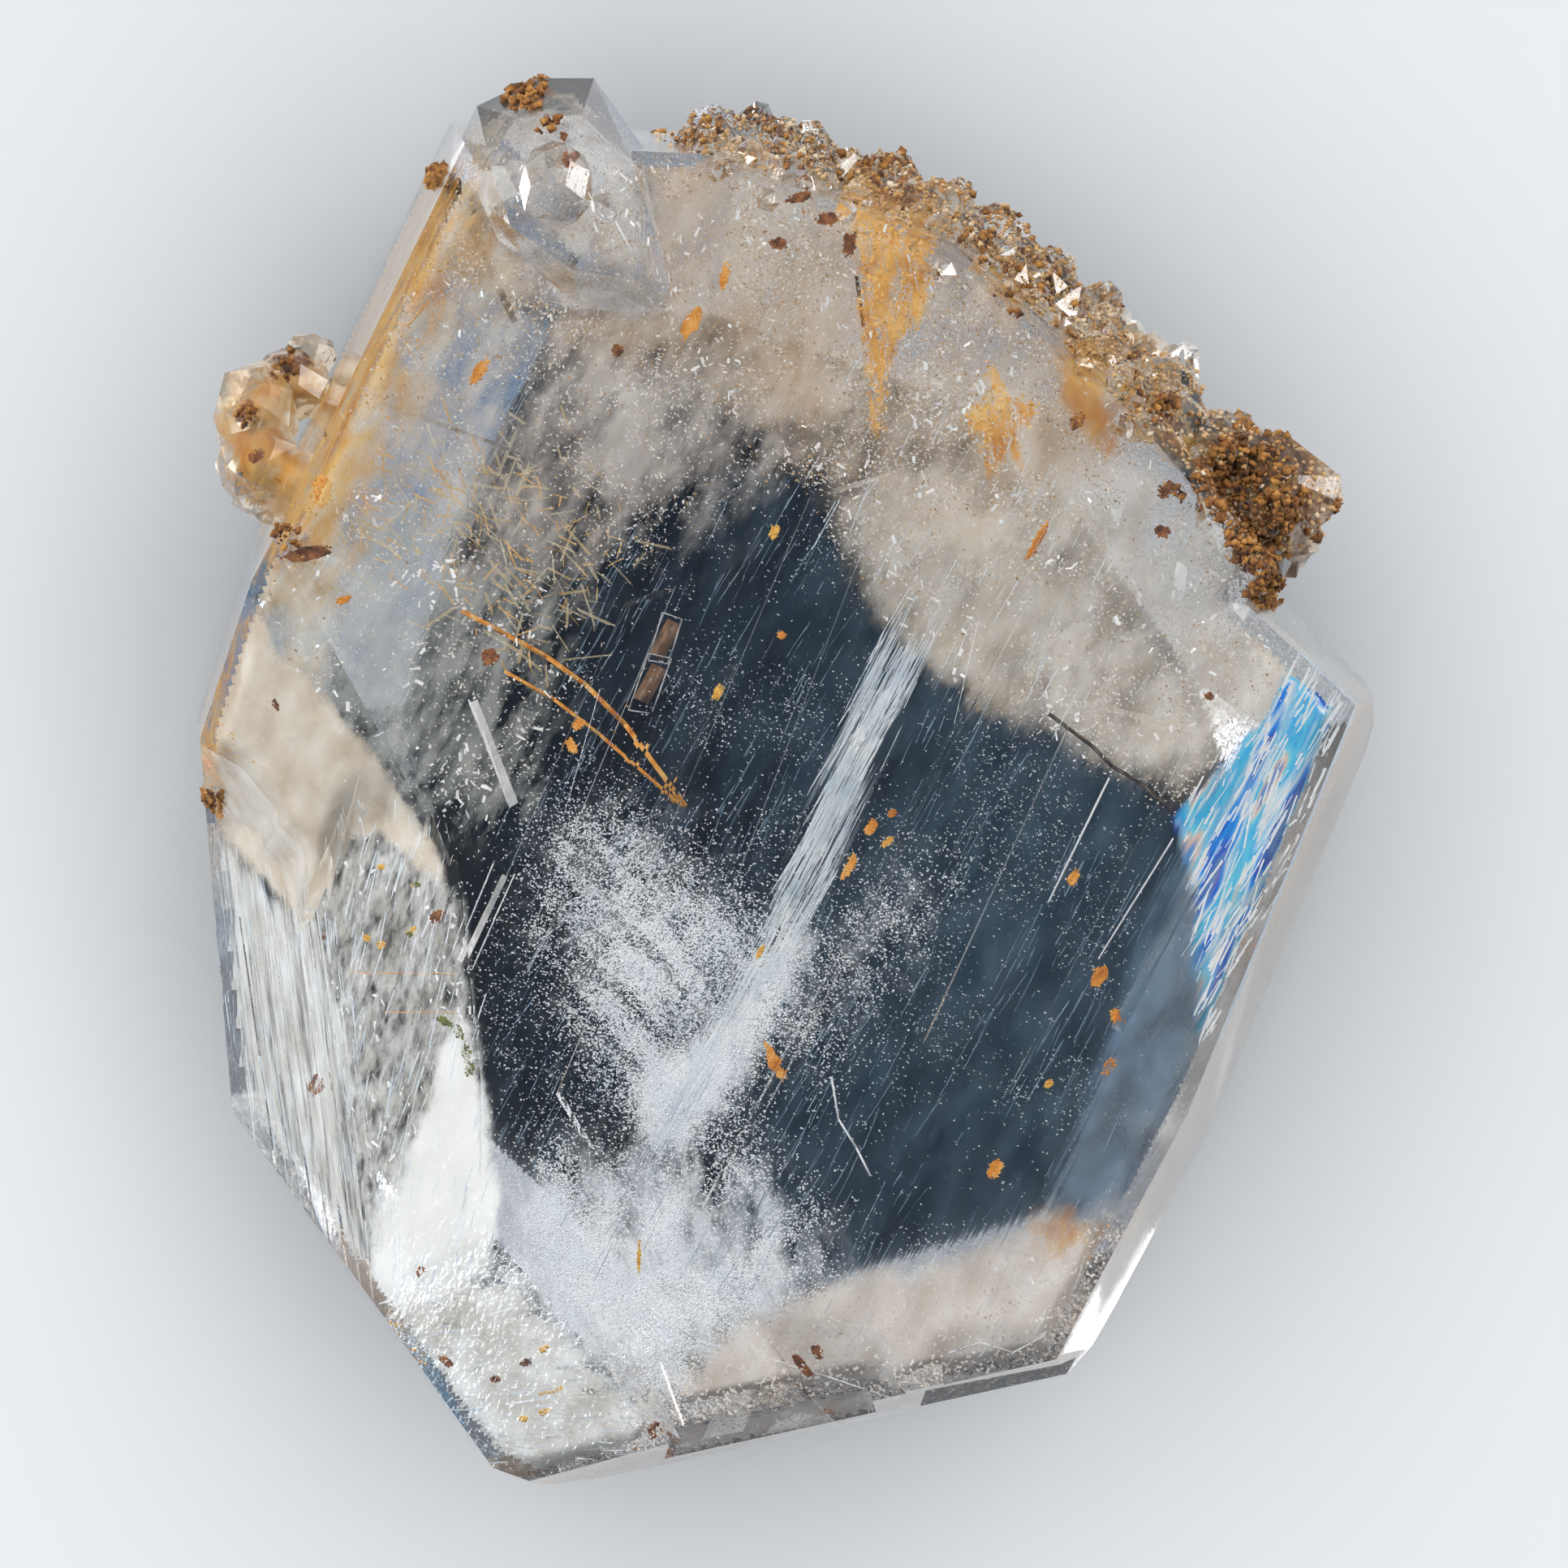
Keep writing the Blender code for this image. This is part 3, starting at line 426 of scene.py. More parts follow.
def mesh_triangles(obj):
    """The corners of each triangle of an object, in millimetres."""
    obj.data.calc_loop_triangles()
    corners = np.empty(len(obj.data.loop_triangles) * 3, dtype=int)
    obj.data.loop_triangles.foreach_get("vertices", corners)
    places = np.empty(len(obj.data.vertices) * 3)
    obj.data.vertices.foreach_get("co", places)
    return places.reshape(-1, 3)[corners.reshape(-1, 3)] / MM


def height_maps(triangles):
    """The heights of the highest and the lowest surface over each cell, or zero beside it."""
    tree = BVHTree.FromPolygons(
        [tuple(corner) for corner in triangles.reshape(-1, 3)],
        [(i, i + 1, i + 2) for i in range(0, len(triangles) * 3, 3)],
    )
    high = np.zeros(MAP_CELLS)
    low = np.zeros(MAP_CELLS)
    down = Vector((0.0, 0.0, -1.0))
    for i in range(MAP_CELLS[0]):
        for j in range(MAP_CELLS[1]):
            x = MAP_LOW[0] + CELL * i
            y = MAP_LOW[1] + CELL * j
            hit = tree.ray_cast(Vector((x, y, ABOVE)), down)[0]
            if hit:
                high[i, j] = hit.z
                low[i, j] = tree.ray_cast(Vector((x, y, -ABOVE)), -down)[0].z
    return high, low


def spread(field, reach, choose):
    """The least or the greatest value within some cells of each cell."""
    for axis in (0, 1):
        field = choose.reduce([np.roll(field, step, axis) for step in range(-reach, reach + 1)])
    return field


def blur(field, size):
    """Softens a map over about this many millimetres."""
    reach = max(1, round(size / CELL / 2))
    for axis in (0, 1, 0, 1):
        pads = [(0, 0), (0, 0)]
        pads[axis] = (reach + 1, reach)
        total = np.cumsum(np.pad(field, pads, mode="edge"), axis=axis)
        last = np.take(total, range(2 * reach + 1, total.shape[axis]), axis)
        first = np.take(total, range(total.shape[axis] - 2 * reach - 1), axis)
        field = (last - first) / (2 * reach + 1)
    return field


def cloud(x, y, size, seed, octaves=4):
    """Cloudy values between 0 and 1 that change over about this many millimetres."""
    total = np.zeros_like(x)
    weight = 0.0
    for octave in range(octaves):
        table = np.random.default_rng([seed, octave]).random((NOISE_TABLE, NOISE_TABLE))
        scale = 2.0 ** octave
        u = x / size * scale
        v = y / size * scale
        i = np.floor(u).astype(int)
        j = np.floor(v).astype(int)
        a = (u - i) ** 2 * (3 - 2 * (u - i))
        b = (v - j) ** 2 * (3 - 2 * (v - j))
        near, far = (
            table[(i + s) % NOISE_TABLE, j % NOISE_TABLE] * (1 - b)
            + table[(i + s) % NOISE_TABLE, (j + 1) % NOISE_TABLE] * b
            for s in (0, 1)
        )
        total += (near * (1 - a) + far * a) / scale
        weight += 1.0 / scale
    return total / weight


def streaks(length, width, seed, angle=LINE_ANGLE):
    """Cloudy values over the map that are drawn out in one direction."""
    along = GRID_X * math.cos(angle) + GRID_Y * math.sin(angle)
    across = GRID_Y * math.cos(angle) - GRID_X * math.sin(angle)
    return cloud(along / length, across / width, 1.0, seed)


def ramp(field, start, end):
    """Rises from 0 to 1 between two values of a map."""
    return np.clip((field - start) / (end - start), 0.0, 1.0)


def patches(size, seed, start, end):
    """Cloudy patches over the map that rise from 0 to 1 between two values."""
    return ramp(cloud(GRID_X, GRID_Y, size, seed), start, end)


def zone(outline, soft, warp, seed):
    """How much each cell of the map belongs to a zone, with a soft and uneven rim."""
    x = GRID_X + warp * 2 * (cloud(GRID_X, GRID_Y, 2.5, seed) - 0.5)
    y = GRID_Y + warp * 2 * (cloud(GRID_X, GRID_Y, 2.5, seed + 1) - 0.5)
    inside = np.zeros(x.shape, dtype=bool)
    for (x0, y0), (x1, y1) in zip(outline, outline[1:] + outline[:1]):
        if y0 == y1:
            continue
        crosses = (y0 > y) != (y1 > y)
        inside ^= crosses & (x < (x1 - x0) * (y - y0) / (y1 - y0) + x0)
    return blur(inside.astype(float), soft)


def cells_of(x, y):
    i = np.clip(np.rint((x - MAP_LOW[0]) / CELL).astype(int), 0, MAP_CELLS[0] - 1)
    j = np.clip(np.rint((y - MAP_LOW[1]) / CELL).astype(int), 0, MAP_CELLS[1] - 1)
    return i, j


def unit(vectors):
    return vectors / np.linalg.norm(vectors, axis=1)[:, None]


def inner_places(density, count, depth, rng):
    """Places inside the crystal, with the slope of the surface over them."""
    share = (density * SOLID).ravel()
    cells = rng.choice(share.size, count, p=share / share.sum())
    i, j = np.unravel_index(cells, MAP_CELLS)
    x = MAP_LOW[0] + CELL * (i + rng.random(count) - 0.5)
    y = MAP_LOW[1] + CELL * (j + rng.random(count) - 0.5)
    z = ROOF[i, j] - rng.uniform(depth[0], depth[1], count)
    held = z > BASE[i, j]
    normal = unit(np.stack([-SLOPE_X[i, j], -SLOPE_Y[i, j], np.ones(count)], axis=1))
    return np.stack([x, y, z], axis=1)[held], normal[held]


def skin_places(triangles, count):
    """Places spread evenly over the crystal's faces, with the way that the faces look."""
    rng = np.random.default_rng(SKIN_SEED)
    first, second, third = triangles[:, 0], triangles[:, 1], triangles[:, 2]
    cross = np.cross(second - first, third - first)
    size = np.linalg.norm(cross, axis=1)
    chosen = rng.choice(len(size), count, p=size / size.sum())
    a, b = rng.random(count), rng.random(count)
    flip = a + b > 1
    a[flip], b[flip] = 1 - a[flip], 1 - b[flip]
    along = (second - first)[chosen] * a[:, None]
    across = (third - first)[chosen] * b[:, None]
    return first[chosen] + along + across, cross[chosen] / size[chosen][:, None]


def outer_places(density, count, depth, rng, lowest):
    """Places on the crystal's faces or just under them, with the way that the faces look."""
    place, normal = SKIN
    i, j = cells_of(place[:, 0], place[:, 1])
    share = density[i, j] * (place[:, 2] > lowest) * (normal[:, 2] > DOWNWARD)
    count = min(count, np.count_nonzero(share > 0))
    chosen = rng.choice(len(place), count, replace=False, p=share / share.sum())
    sunk = normal[chosen] * rng.uniform(depth[0], depth[1], len(chosen))[:, None]
    return place[chosen] - sunk, normal[chosen]


def places_by(density, count, depth, rng, lowest):
    """Places inside the crystal, or on its faces above a height where one is given."""
    if lowest is None:
        return inner_places(density, count, depth, rng)
    return outer_places(density, count, depth, rng, lowest)


def joined(name, points, faces, material):
    """One piece from corner points in millimetres and faces that all have as many corners."""
    mesh = bpy.data.meshes.new(name)
    count, corners = faces.shape
    mesh.vertices.add(len(points))
    mesh.vertices.foreach_set("co", (points * MM).ravel())
    mesh.loops.add(faces.size)
    mesh.loops.foreach_set("vertex_index", faces.ravel())
    mesh.polygons.add(count)
    mesh.polygons.foreach_set("loop_start", np.arange(count) * corners)
    mesh.update(calc_edges=True)
    mesh.validate()
    mesh.materials.append(material)
    obj = link(bpy.data.objects.new(name, mesh))
    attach(obj, BODY)
    pieces.append(obj)
    return obj


def hazy(obj, cover):
    """Keeps how dense a haze is at each corner of its mesh, and lets light through to the rest."""
    kept = obj.data.attributes.new(COVER, "FLOAT", "POINT")
    kept.data.foreach_set("value", cover)
    obj.visible_shadow = False


def within(points):
    """Whether each point is inside the crystal, to about a cell."""
    i, j = cells_of(points[..., 0], points[..., 1])
    z = points[..., 2]
    return (HIGH[i, j] > 0) & (z < HIGH[i, j] + CELL) & (z > LOW[i, j] - CELL)


def plates(name, where, normal, length, width, material, rng, tilt, angle=None, turn=0.1):
    """Thin flat plates that lie along the surface or tilt from it, as one piece."""
    count = len(where)
    normal = unit(normal + tilt * rng.normal(size=(count, 3)) * 0.6)
    if angle is None:
        heading = rng.uniform(0, 2 * math.pi, count)
        corners = PLATE_CORNERS
    else:
        heading = angle + rng.normal(size=count) * turn
        corners = 4
    along = np.stack([np.cos(heading), np.sin(heading), np.zeros(count)], axis=1)
    along = unit(along - normal * np.sum(along * normal, axis=1)[:, None])
    across = np.cross(normal, along)
    half_length = rng.uniform(length[0], length[1], count) / 2
    half_width = rng.uniform(width[0], width[1], count) / 2
    round_angle = 2 * math.pi * (np.arange(corners) + 0.5) / corners
    reach = rng.uniform(0.75, 1.25, (count, corners))
    u = (np.cos(round_angle)[None, :] * reach * half_length[:, None])[:, :, None]
    v = (np.sin(round_angle)[None, :] * reach * half_width[:, None])[:, :, None]
    points = where[:, None, :] + u * along[:, None, :] + v * across[:, None, :]
    points = points[within(points).all(axis=1)]
    faces = np.arange(len(points) * corners).reshape(-1, corners)
    joined(name, points.reshape(-1, 3), faces, material)


def strewn(name, density, count, depth, length, width, material, rng, tilt, angle=None, turn=0.1,
           lowest=None):
    """Plates strewn where a map says, inside the crystal or on its faces."""
    where, normal = places_by(density, count, depth, rng, lowest)
    plates(name, where, normal, length, width, material, rng, tilt, angle, turn)


def grains(name, where, size, material, rng, form=EIGHT_SIDED):
    """Small closed grains of one form, turned at random and uneven, as one piece."""
    count = len(where)
    corners = unit(np.array(form[0], dtype=float))
    sizes = rng.uniform(0.6, 1.2, (count, len(corners)))
    sizes = sizes * rng.uniform(size[0], size[1], count)[:, None] / 2
    local = corners[None] * sizes[:, :, None]
    points = np.einsum("npk,nkx->npx", local, turned_axes(count, rng)) + where[:, None, :]
    faces = np.array(form[1])[None] + len(corners) * np.arange(count)[:, None, None]
    joined(name, points.reshape(-1, 3), faces.reshape(-1, 3), material)


def sown(name, density, count, depth, size, material, rng, form=EIGHT_SIDED, lowest=None):
    """Grains strewn where a map says, inside the crystal or on its faces."""
    where = places_by(density, count, depth, rng, lowest)[0]
    grains(name, where, size, material, rng, form)


def turned_axes(count, rng):
    """Three square axes turned at random, for each of a number of things."""
    first = unit(rng.normal(size=(count, 3)))
    second = unit(np.cross(first, rng.normal(size=(count, 3))))
    return np.stack([first, second, np.cross(first, second)], axis=1)


def inward(x, y, depth):
    """Points moved to the middle until they are inside the crystal at a depth under its faces."""
    x = np.array(x, dtype=float)
    y = np.array(y, dtype=float)
    for _ in range(INWARD_STEPS):
        i, j = cells_of(x, y)
        outside = (SOLID[i, j] == 0) | (ROOF[i, j] - depth < BASE[i, j])
        x[outside] *= INWARD
        y[outside] *= INWARD
    i, j = cells_of(x, y)
    return np.stack([x, y, ROOF[i, j] - depth], axis=1)


def rods(name, lines, material):
    """Thin square rods along lines that follow the surface at a depth, as one piece."""
    points, faces = [], []
    for line, thickness, depth in lines:
        path = np.array(line, dtype=float)
        path = inward(path[:, 0], path[:, 1], depth)
        for start, end in zip(path[:-1], path[1:]):
            along = (end - start) / np.linalg.norm(end - start)
            side = np.cross(along, (0.0, 0.0, 1.0))
            side = side / np.linalg.norm(side) * thickness / 2
            rise = np.array((0.0, 0.0, thickness / 2))
            base = len(points)
            for place in (start, end):
                points += [place + side, place + rise, place - side, place - rise]
            for k in range(4):
                n = (k + 1) % 4
                faces.append((base + k, base + n, base + 4 + n, base + 4 + k))
            faces.append((base + 3, base + 2, base + 1, base))
            faces.append((base + 4, base + 5, base + 6, base + 7))
    joined(name, np.array(points), np.array(faces), material)


def turned(x, y, u, v, angle):
    """A point off a middle, along axes turned by an angle in degrees."""
    turn = math.radians(angle)
    return (x + u * math.cos(turn) - v * math.sin(turn),
            y + u * math.sin(turn) + v * math.cos(turn))


def ragged(speck, rng):
    """The uneven outline of one speck."""
    x, y, length, width, angle = speck
    corners = []
    for step in range(SPECK_CORNERS):
        heading = 2 * math.pi * step / SPECK_CORNERS
        reach = rng.uniform(0.32, 0.56)
        u = reach * length * math.cos(heading)
        v = reach * width * math.sin(heading)
        corners.append(turned(x, y, u, v, angle))
    return corners


def speck_places(specks, depth, rng):
    """Places of the small grains that make up each speck."""
    places = []
    for x, y, length, width, angle in specks:
        radius = np.sqrt(rng.random(SPECK_GRAINS)) / 2
        heading = rng.uniform(0, 2 * math.pi, SPECK_GRAINS)
        u = radius * np.cos(heading) * length
        v = radius * np.sin(heading) * width
        place = inward(*turned(x, y, u, v, angle), depth + SPECK_LAYER)
        place[:, 2] += rng.random(SPECK_GRAINS) * SPECK_LAYER
        places.append(place)
    return np.concatenate(places)


def flats(name, outlines, material):
    """Flat pieces given by their corners, that follow the surface at a depth."""
    points, faces = [], []
    for outline, depth in outlines:
        corners = np.array(outline, dtype=float)
        places = np.vstack([corners, corners.mean(axis=0)])
        places = inward(places[:, 0], places[:, 1], depth)
        level = np.median(places[:, 2])
        places[:, 2] = np.clip(places[:, 2], level - FLAT_RISE, level + FLAT_RISE)
        start = len(points)
        points += list(places)
        last = start + len(corners)
        for k in range(len(corners)):
            faces.append((start + k, start + (k + 1) % len(corners), last))
    obj = joined(name, np.array(points), np.array(faces), material)
    hazy(obj, np.full(len(points), FLAT_COVER))


def sheet(name, cover, depths, material, seed, form=COARSE, steepest=STEEPEST):
    """Thin sheets of haze at some depths under the faces, wherever a map has cover."""
    wave, step = form
    points, faces, covers = [], [], []
    for layer, depth in enumerate(depths):
        height = INNER_ROOF - depth - wave * cloud(GRID_X, GRID_Y, 2.0, seed + layer, 2)
        held = ((cover > LEAST_COVER) & (SOLID > 0) & (height > BASE))[::step, ::step]
        whole = held[:-1, :-1] & held[1:, :-1] & held[1:, 1:] & held[:-1, 1:]
        coarse = height[::step, ::step]
        ends = np.stack([coarse[:-1, :-1], coarse[1:, :-1], coarse[1:, 1:], coarse[:-1, 1:]])
        whole &= np.ptp(ends, axis=0) < steepest * step
        i, j = np.nonzero(whole)
        rows = held.shape[1]
        first = i * rows + j
        corners = np.stack([first, first + rows, first + rows + 1, first + 1], axis=1)
        used, faces_used = np.unique(corners, return_inverse=True)
        start = sum(len(part) for part in points)
        places = [field[::step, ::step].ravel()[used] for field in (GRID_X, GRID_Y, height)]
        points.append(np.stack(places, axis=1))
        covers.append(cover[::step, ::step].ravel()[used])
        faces.append(faces_used.reshape(-1, 4) + start)
    obj = joined(name, np.concatenate(points), np.concatenate(faces), material)
    obj.data.polygons.foreach_set("use_smooth", np.ones(len(obj.data.polygons), dtype=bool))
    hazy(obj, np.concatenate(covers))


def veil(name, cover, depths, seed, colors, peak, grain, size, angle=LINE_ANGLE, **shape):
    """Sheets of haze with a material of their own."""
    material = veil_material(name, colors, peak, grain, size, angle)
    sheet(name, cover, depths, material, seed, **shape)


def feed(tree, node, inputs):
    """Gives each named input of a node a value, or another node's output."""
    for name, value in inputs.items():
        if isinstance(value, bpy.types.NodeSocket):
            tree.links.new(value, node.inputs[name])
        else:
            node.inputs[name].default_value = value


def add_node(tree, kind, inputs, **settings):
    node = tree.nodes.new("ShaderNode" + kind)
    for name, value in settings.items():
        setattr(node, name, value)
    feed(tree, node, inputs)
    return node


def worked_out(tree, operation, *values, clamp=False):
    """The output of a Math node that works on some values and outputs."""
    inputs = dict(enumerate(values))
    return add_node(tree, "Math", inputs, operation=operation, use_clamp=clamp).outputs[0]


def noise(tree, size, detail, roughness=0.5, angle=LINE_ANGLE):
    """Noise in waves to a millimetre across X, Y and Z, with Y turned to an angle."""
    place = tree.nodes.new("ShaderNodeTexCoord").outputs["Object"]
    rotation = (0.0, 0.0, math.pi / 2 - angle)
    turn = add_node(tree, "Mapping", {"Vector": place, "Rotation": rotation})
    scale = [value / MM for value in size]
    grow = add_node(tree, "Mapping", {"Vector": turn.outputs["Vector"], "Scale": scale})
    values = {"Vector": grow.outputs["Vector"], "Scale": 1.0, "Detail": detail,
              "Roughness": roughness}
    return add_node(tree, "TexNoise", values).outputs["Fac"]


def new_material(name):
    """A new material, with its node tree and its shader."""
    material = bpy.data.materials.new(name)
    material.use_nodes = True
    return material, material.node_tree, material.node_tree.nodes["Principled BSDF"]


def quartz_material():
    """Clear quartz with fine growth lines in its surface, tinted and dulled by iron in places."""
    material, tree, shader = new_material("clear_quartz")
    stain = stained_mask(tree)
    colors = {"A": (*WHITE, 1.0), "B": STAIN_TINT, "Factor": stain}
    tint = add_node(tree, "Mix", colors, data_type="RGBA")
    ends = {"To Min": ROUGHNESS[0], "To Max": ROUGHNESS[1], "Value": stain}
    rough = add_node(tree, "MapRange", ends)
    lines = noise(tree, (6.0, 0.25, 6.0), 3.0)
    bump = add_node(tree, "Bump", {"Strength": 0.25, "Distance": 0.00003, "Height": lines})
    feed(tree, shader, {
        "IOR": IOR,
        "Transmission Weight": 1.0,
        "Base Color": tint.outputs["Result"],
        "Roughness": rough.outputs["Result"],
        "Normal": bump.outputs["Normal"],
    })
    return material


def stained_mask(tree):
    """Rises to 1 near the places that iron has stained, with an uneven rim."""
    place = tree.nodes.new("ShaderNodeTexCoord").outputs["Object"]
    total = None
    for x, y, z, reach in STAINED:
        gap = add_node(tree, "VectorMath", {0: place, 1: mm((x, y, z))}, operation="DISTANCE")
        ends = {"From Min": reach * MM, "From Max": STAIN_CORE * reach * MM,
                "Value": gap.outputs["Value"]}
        near = add_node(tree, "MapRange", ends).outputs["Result"]
        total = near if total is None else worked_out(tree, "MAXIMUM", total, near)
    uneven = noise(tree, (0.9, 0.9, 0.9), 3.0)
    uneven = worked_out(tree, "MULTIPLY", uneven, STAIN_STRENGTH)
    return worked_out(tree, "MULTIPLY", uneven, total, clamp=True)


def mottled(name, colors, size=(0.8, 0.8, 0.8), roughness=0.6, alpha=1.0, detail=4.0):
    """A solid colour that wanders between several, as natural stains and veils do."""
    material, tree, shader = new_material(name)
    mix = add_node(tree, "ValToRGB", {0: noise(tree, size, detail)})
    elements = mix.color_ramp.elements
    while len(elements) < len(colors):
        elements.new(0.5)
    for index, color in enumerate(colors):
        elements[index].position = 0.32 + 0.36 * index / (len(colors) - 1)
        elements[index].color = (*color, 1.0)
    inputs = {"Roughness": roughness, "Alpha": alpha, "Base Color": mix.outputs[0]}
    feed(tree, shader, inputs)
    return material


def veil_material(name, colors, peak, grain, size, angle=LINE_ANGLE, roughness=0.7,
                  tint=(1.1, 0.6, 1.1)):
    """Haze as dense as the cover kept in its mesh, broken up by noise in waves to a millimetre."""
    material = mottled(name, colors, tint, roughness, detail=2.0)
    tree = material.node_tree
    cover = add_node(tree, "Attribute", {}, attribute_name=COVER).outputs["Fac"]
    uneven = noise(tree, size, 4.0, 0.67, angle)
    uneven = worked_out(tree, "MULTIPLY_ADD", uneven, 2 * grain, -grain)
    mean = worked_out(tree, "ADD", uneven, cover, clamp=True)
    rim = add_node(tree, "MapRange", {"From Max": 0.25, "Value": cover}).outputs["Result"]
    fade = worked_out(tree, "MULTIPLY", mean, rim)
    alpha = worked_out(tree, "MULTIPLY", fade, peak)
    feed(tree, tree.nodes["Principled BSDF"], {"Alpha": alpha})
    return material


def add_camera():
    """Looks straight down on the front face from far enough to keep the outline true."""
    data = bpy.data.cameras.new("camera")
    data.lens = LENS
    data.sensor_width = SENSOR
    obj = link(bpy.data.objects.new("camera", data))
    middle = FRAME_PIXELS / 2
    x = (middle - CENTRE_PIXEL[0]) * PIXEL
    y = (CENTRE_PIXEL[1] - middle) * PIXEL
    obj.location = mm((x, y, IN_FOCUS + FRAME_SIZE * LENS / SENSOR))
    data.clip_start, data.clip_end = CLIP
    bpy.context.scene.camera = obj


def add_floor():
    mesh = bmesh.new()
    bmesh.ops.create_circle(mesh, cap_ends=True, segments=FLOOR_SIDES, radius=FLOOR_RADIUS)
    data = bpy.data.meshes.new("floor")
    mesh.to_mesh(data)
    mesh.free()
    floor = link(bpy.data.objects.new("floor", data))
    floor.location.z = FLOOR_Z
    material, tree, shader = new_material("pale_floor")
    color = (0.62, 0.62, 0.61, 1.0)
    feed(tree, shader, {"Base Color": color, "Roughness": 0.85, "Specular IOR Level": 0.1})
    data.materials.append(material)
    return floor


def add_panel(name, place, size, power, color, aim):
    """A soft rectangular light that faces a point."""
    data = bpy.data.lights.new(name, "AREA")
    data.shape = "RECTANGLE"
    data.size, data.size_y = size
    data.energy = power
    data.color = color
    obj = link(bpy.data.objects.new(name, data))
    obj.location = place
    obj.rotation_euler = (Vector(place) - Vector(aim)).to_track_quat("Z", "Y").to_euler()
    return obj


def collection(name, objects):
    made = bpy.data.collections.new(name)
    for obj in objects:
        made.objects.link(obj)
    return made


def add_lights(floor, crystal):
    """Panels that light the crystal alone, and one light above that lights the floor alone."""
    lamps = [add_panel(name, *panel) for name, panel in PANELS.items()]
    above = add_panel("floor_light", *FLOOR_LIGHT)
    above.visible_glossy = False
    above.visible_transmission = False
    inside = collection("lit_by_panels", [crystal] + pieces)
    crusts = [piece for piece in pieces if piece.name in CRUSTS]
    blockers = collection("blocks_panels", [floor] + crusts)
    for lamp in lamps:
        lamp.light_linking.receiver_collection = inside
        lamp.light_linking.blocker_collection = blockers
    above.light_linking.receiver_collection = collection("lit_from_above", [floor])


def add_world():
    """A sky that is pale at the sides and bluer above."""
    world = bpy.data.worlds.new("studio")
    bpy.context.scene.world = world
    world.use_nodes = True
    tree = world.node_tree
    place = tree.nodes.new("ShaderNodeTexCoord").outputs["Generated"]
    split = add_node(tree, "SeparateXYZ", {0: place})
    fade = add_node(tree, "ValToRGB", {0: split.outputs["Z"]})
    for element, (position, color) in zip(fade.color_ramp.elements, SKY):
        element.position = position
        element.color = color
    feed(tree, tree.nodes["Background"], {0: fade.outputs[0], 1: 1.0})


def add_upper_veils():
    """The milky upper half: tan at the top, grey in the middle and white on the right."""
    patch = 0.35 + 0.65 * patches(2.4, 52, 0.3, 0.7)
    patch = patch * (1 - 0.7 * zone(ZONE_TOP_CRYSTAL, 0.4, 0.1, 35))
    west = 1 - 0.75 * ramp(GRID_X, -10.0, -6.4)
    veil("veil_flank", zone(ZONE_FLANK, 0.5, 0.3, 12) * (0.3 + 0.6 * patch), (0.6,), 99,
         ((0.46, 0.34, 0.20), (0.66, 0.58, 0.46), (0.62, 0.64, 0.62)), 0.85, 1.4,
         (1.3, 0.5, 1.3), form=FINE)
    veil("veil_smoke", zone(ZONE_TOP_CRYSTAL, 0.4, 0.2, 14) * 0.5, (0.3,), 97,
         ((0.34, 0.24, 0.15), (0.60, 0.54, 0.47), (0.74, 0.72, 0.70)), 0.6, 1.8,
         (1.6, 1.0, 1.6), form=FLAT)
    veil("veil_cream", zone(ZONE_TOP, 1.6, 1.2, 3) * patch, (0.6, 1.8), 101,
         ((0.42, 0.26, 0.13), (0.60, 0.47, 0.34), (0.66, 0.58, 0.50)), 0.66, 1.2,
         (1.1, 0.6, 1.1))
    veil("veil_grey", zone(ZONE_GREY, 2.4, 1.4, 5) * patch, (1.2,), 103,
         ((0.48, 0.44, 0.41), (0.70, 0.66, 0.62)), 0.85, 1.3, (1.3, 0.6, 1.3))
    veil("veil_white", zone(ZONE_RIGHT, 0.8, 0.9, 7) * patch, (0.7, 2.0), 105,
         ((0.52, 0.45, 0.36), (0.82, 0.79, 0.74)), 0.74, 1.2, (1.1, 0.45, 1.1))
    veil("veil_blue", zone(ZONE_LEFT, 1.6, 1.0, 9) * patch * west * 1.2, (1.4,), 107,
         ((0.34, 0.37, 0.36), (0.66, 0.68, 0.66)), 0.6, 2.2, (1.6, 0.5, 1.6))


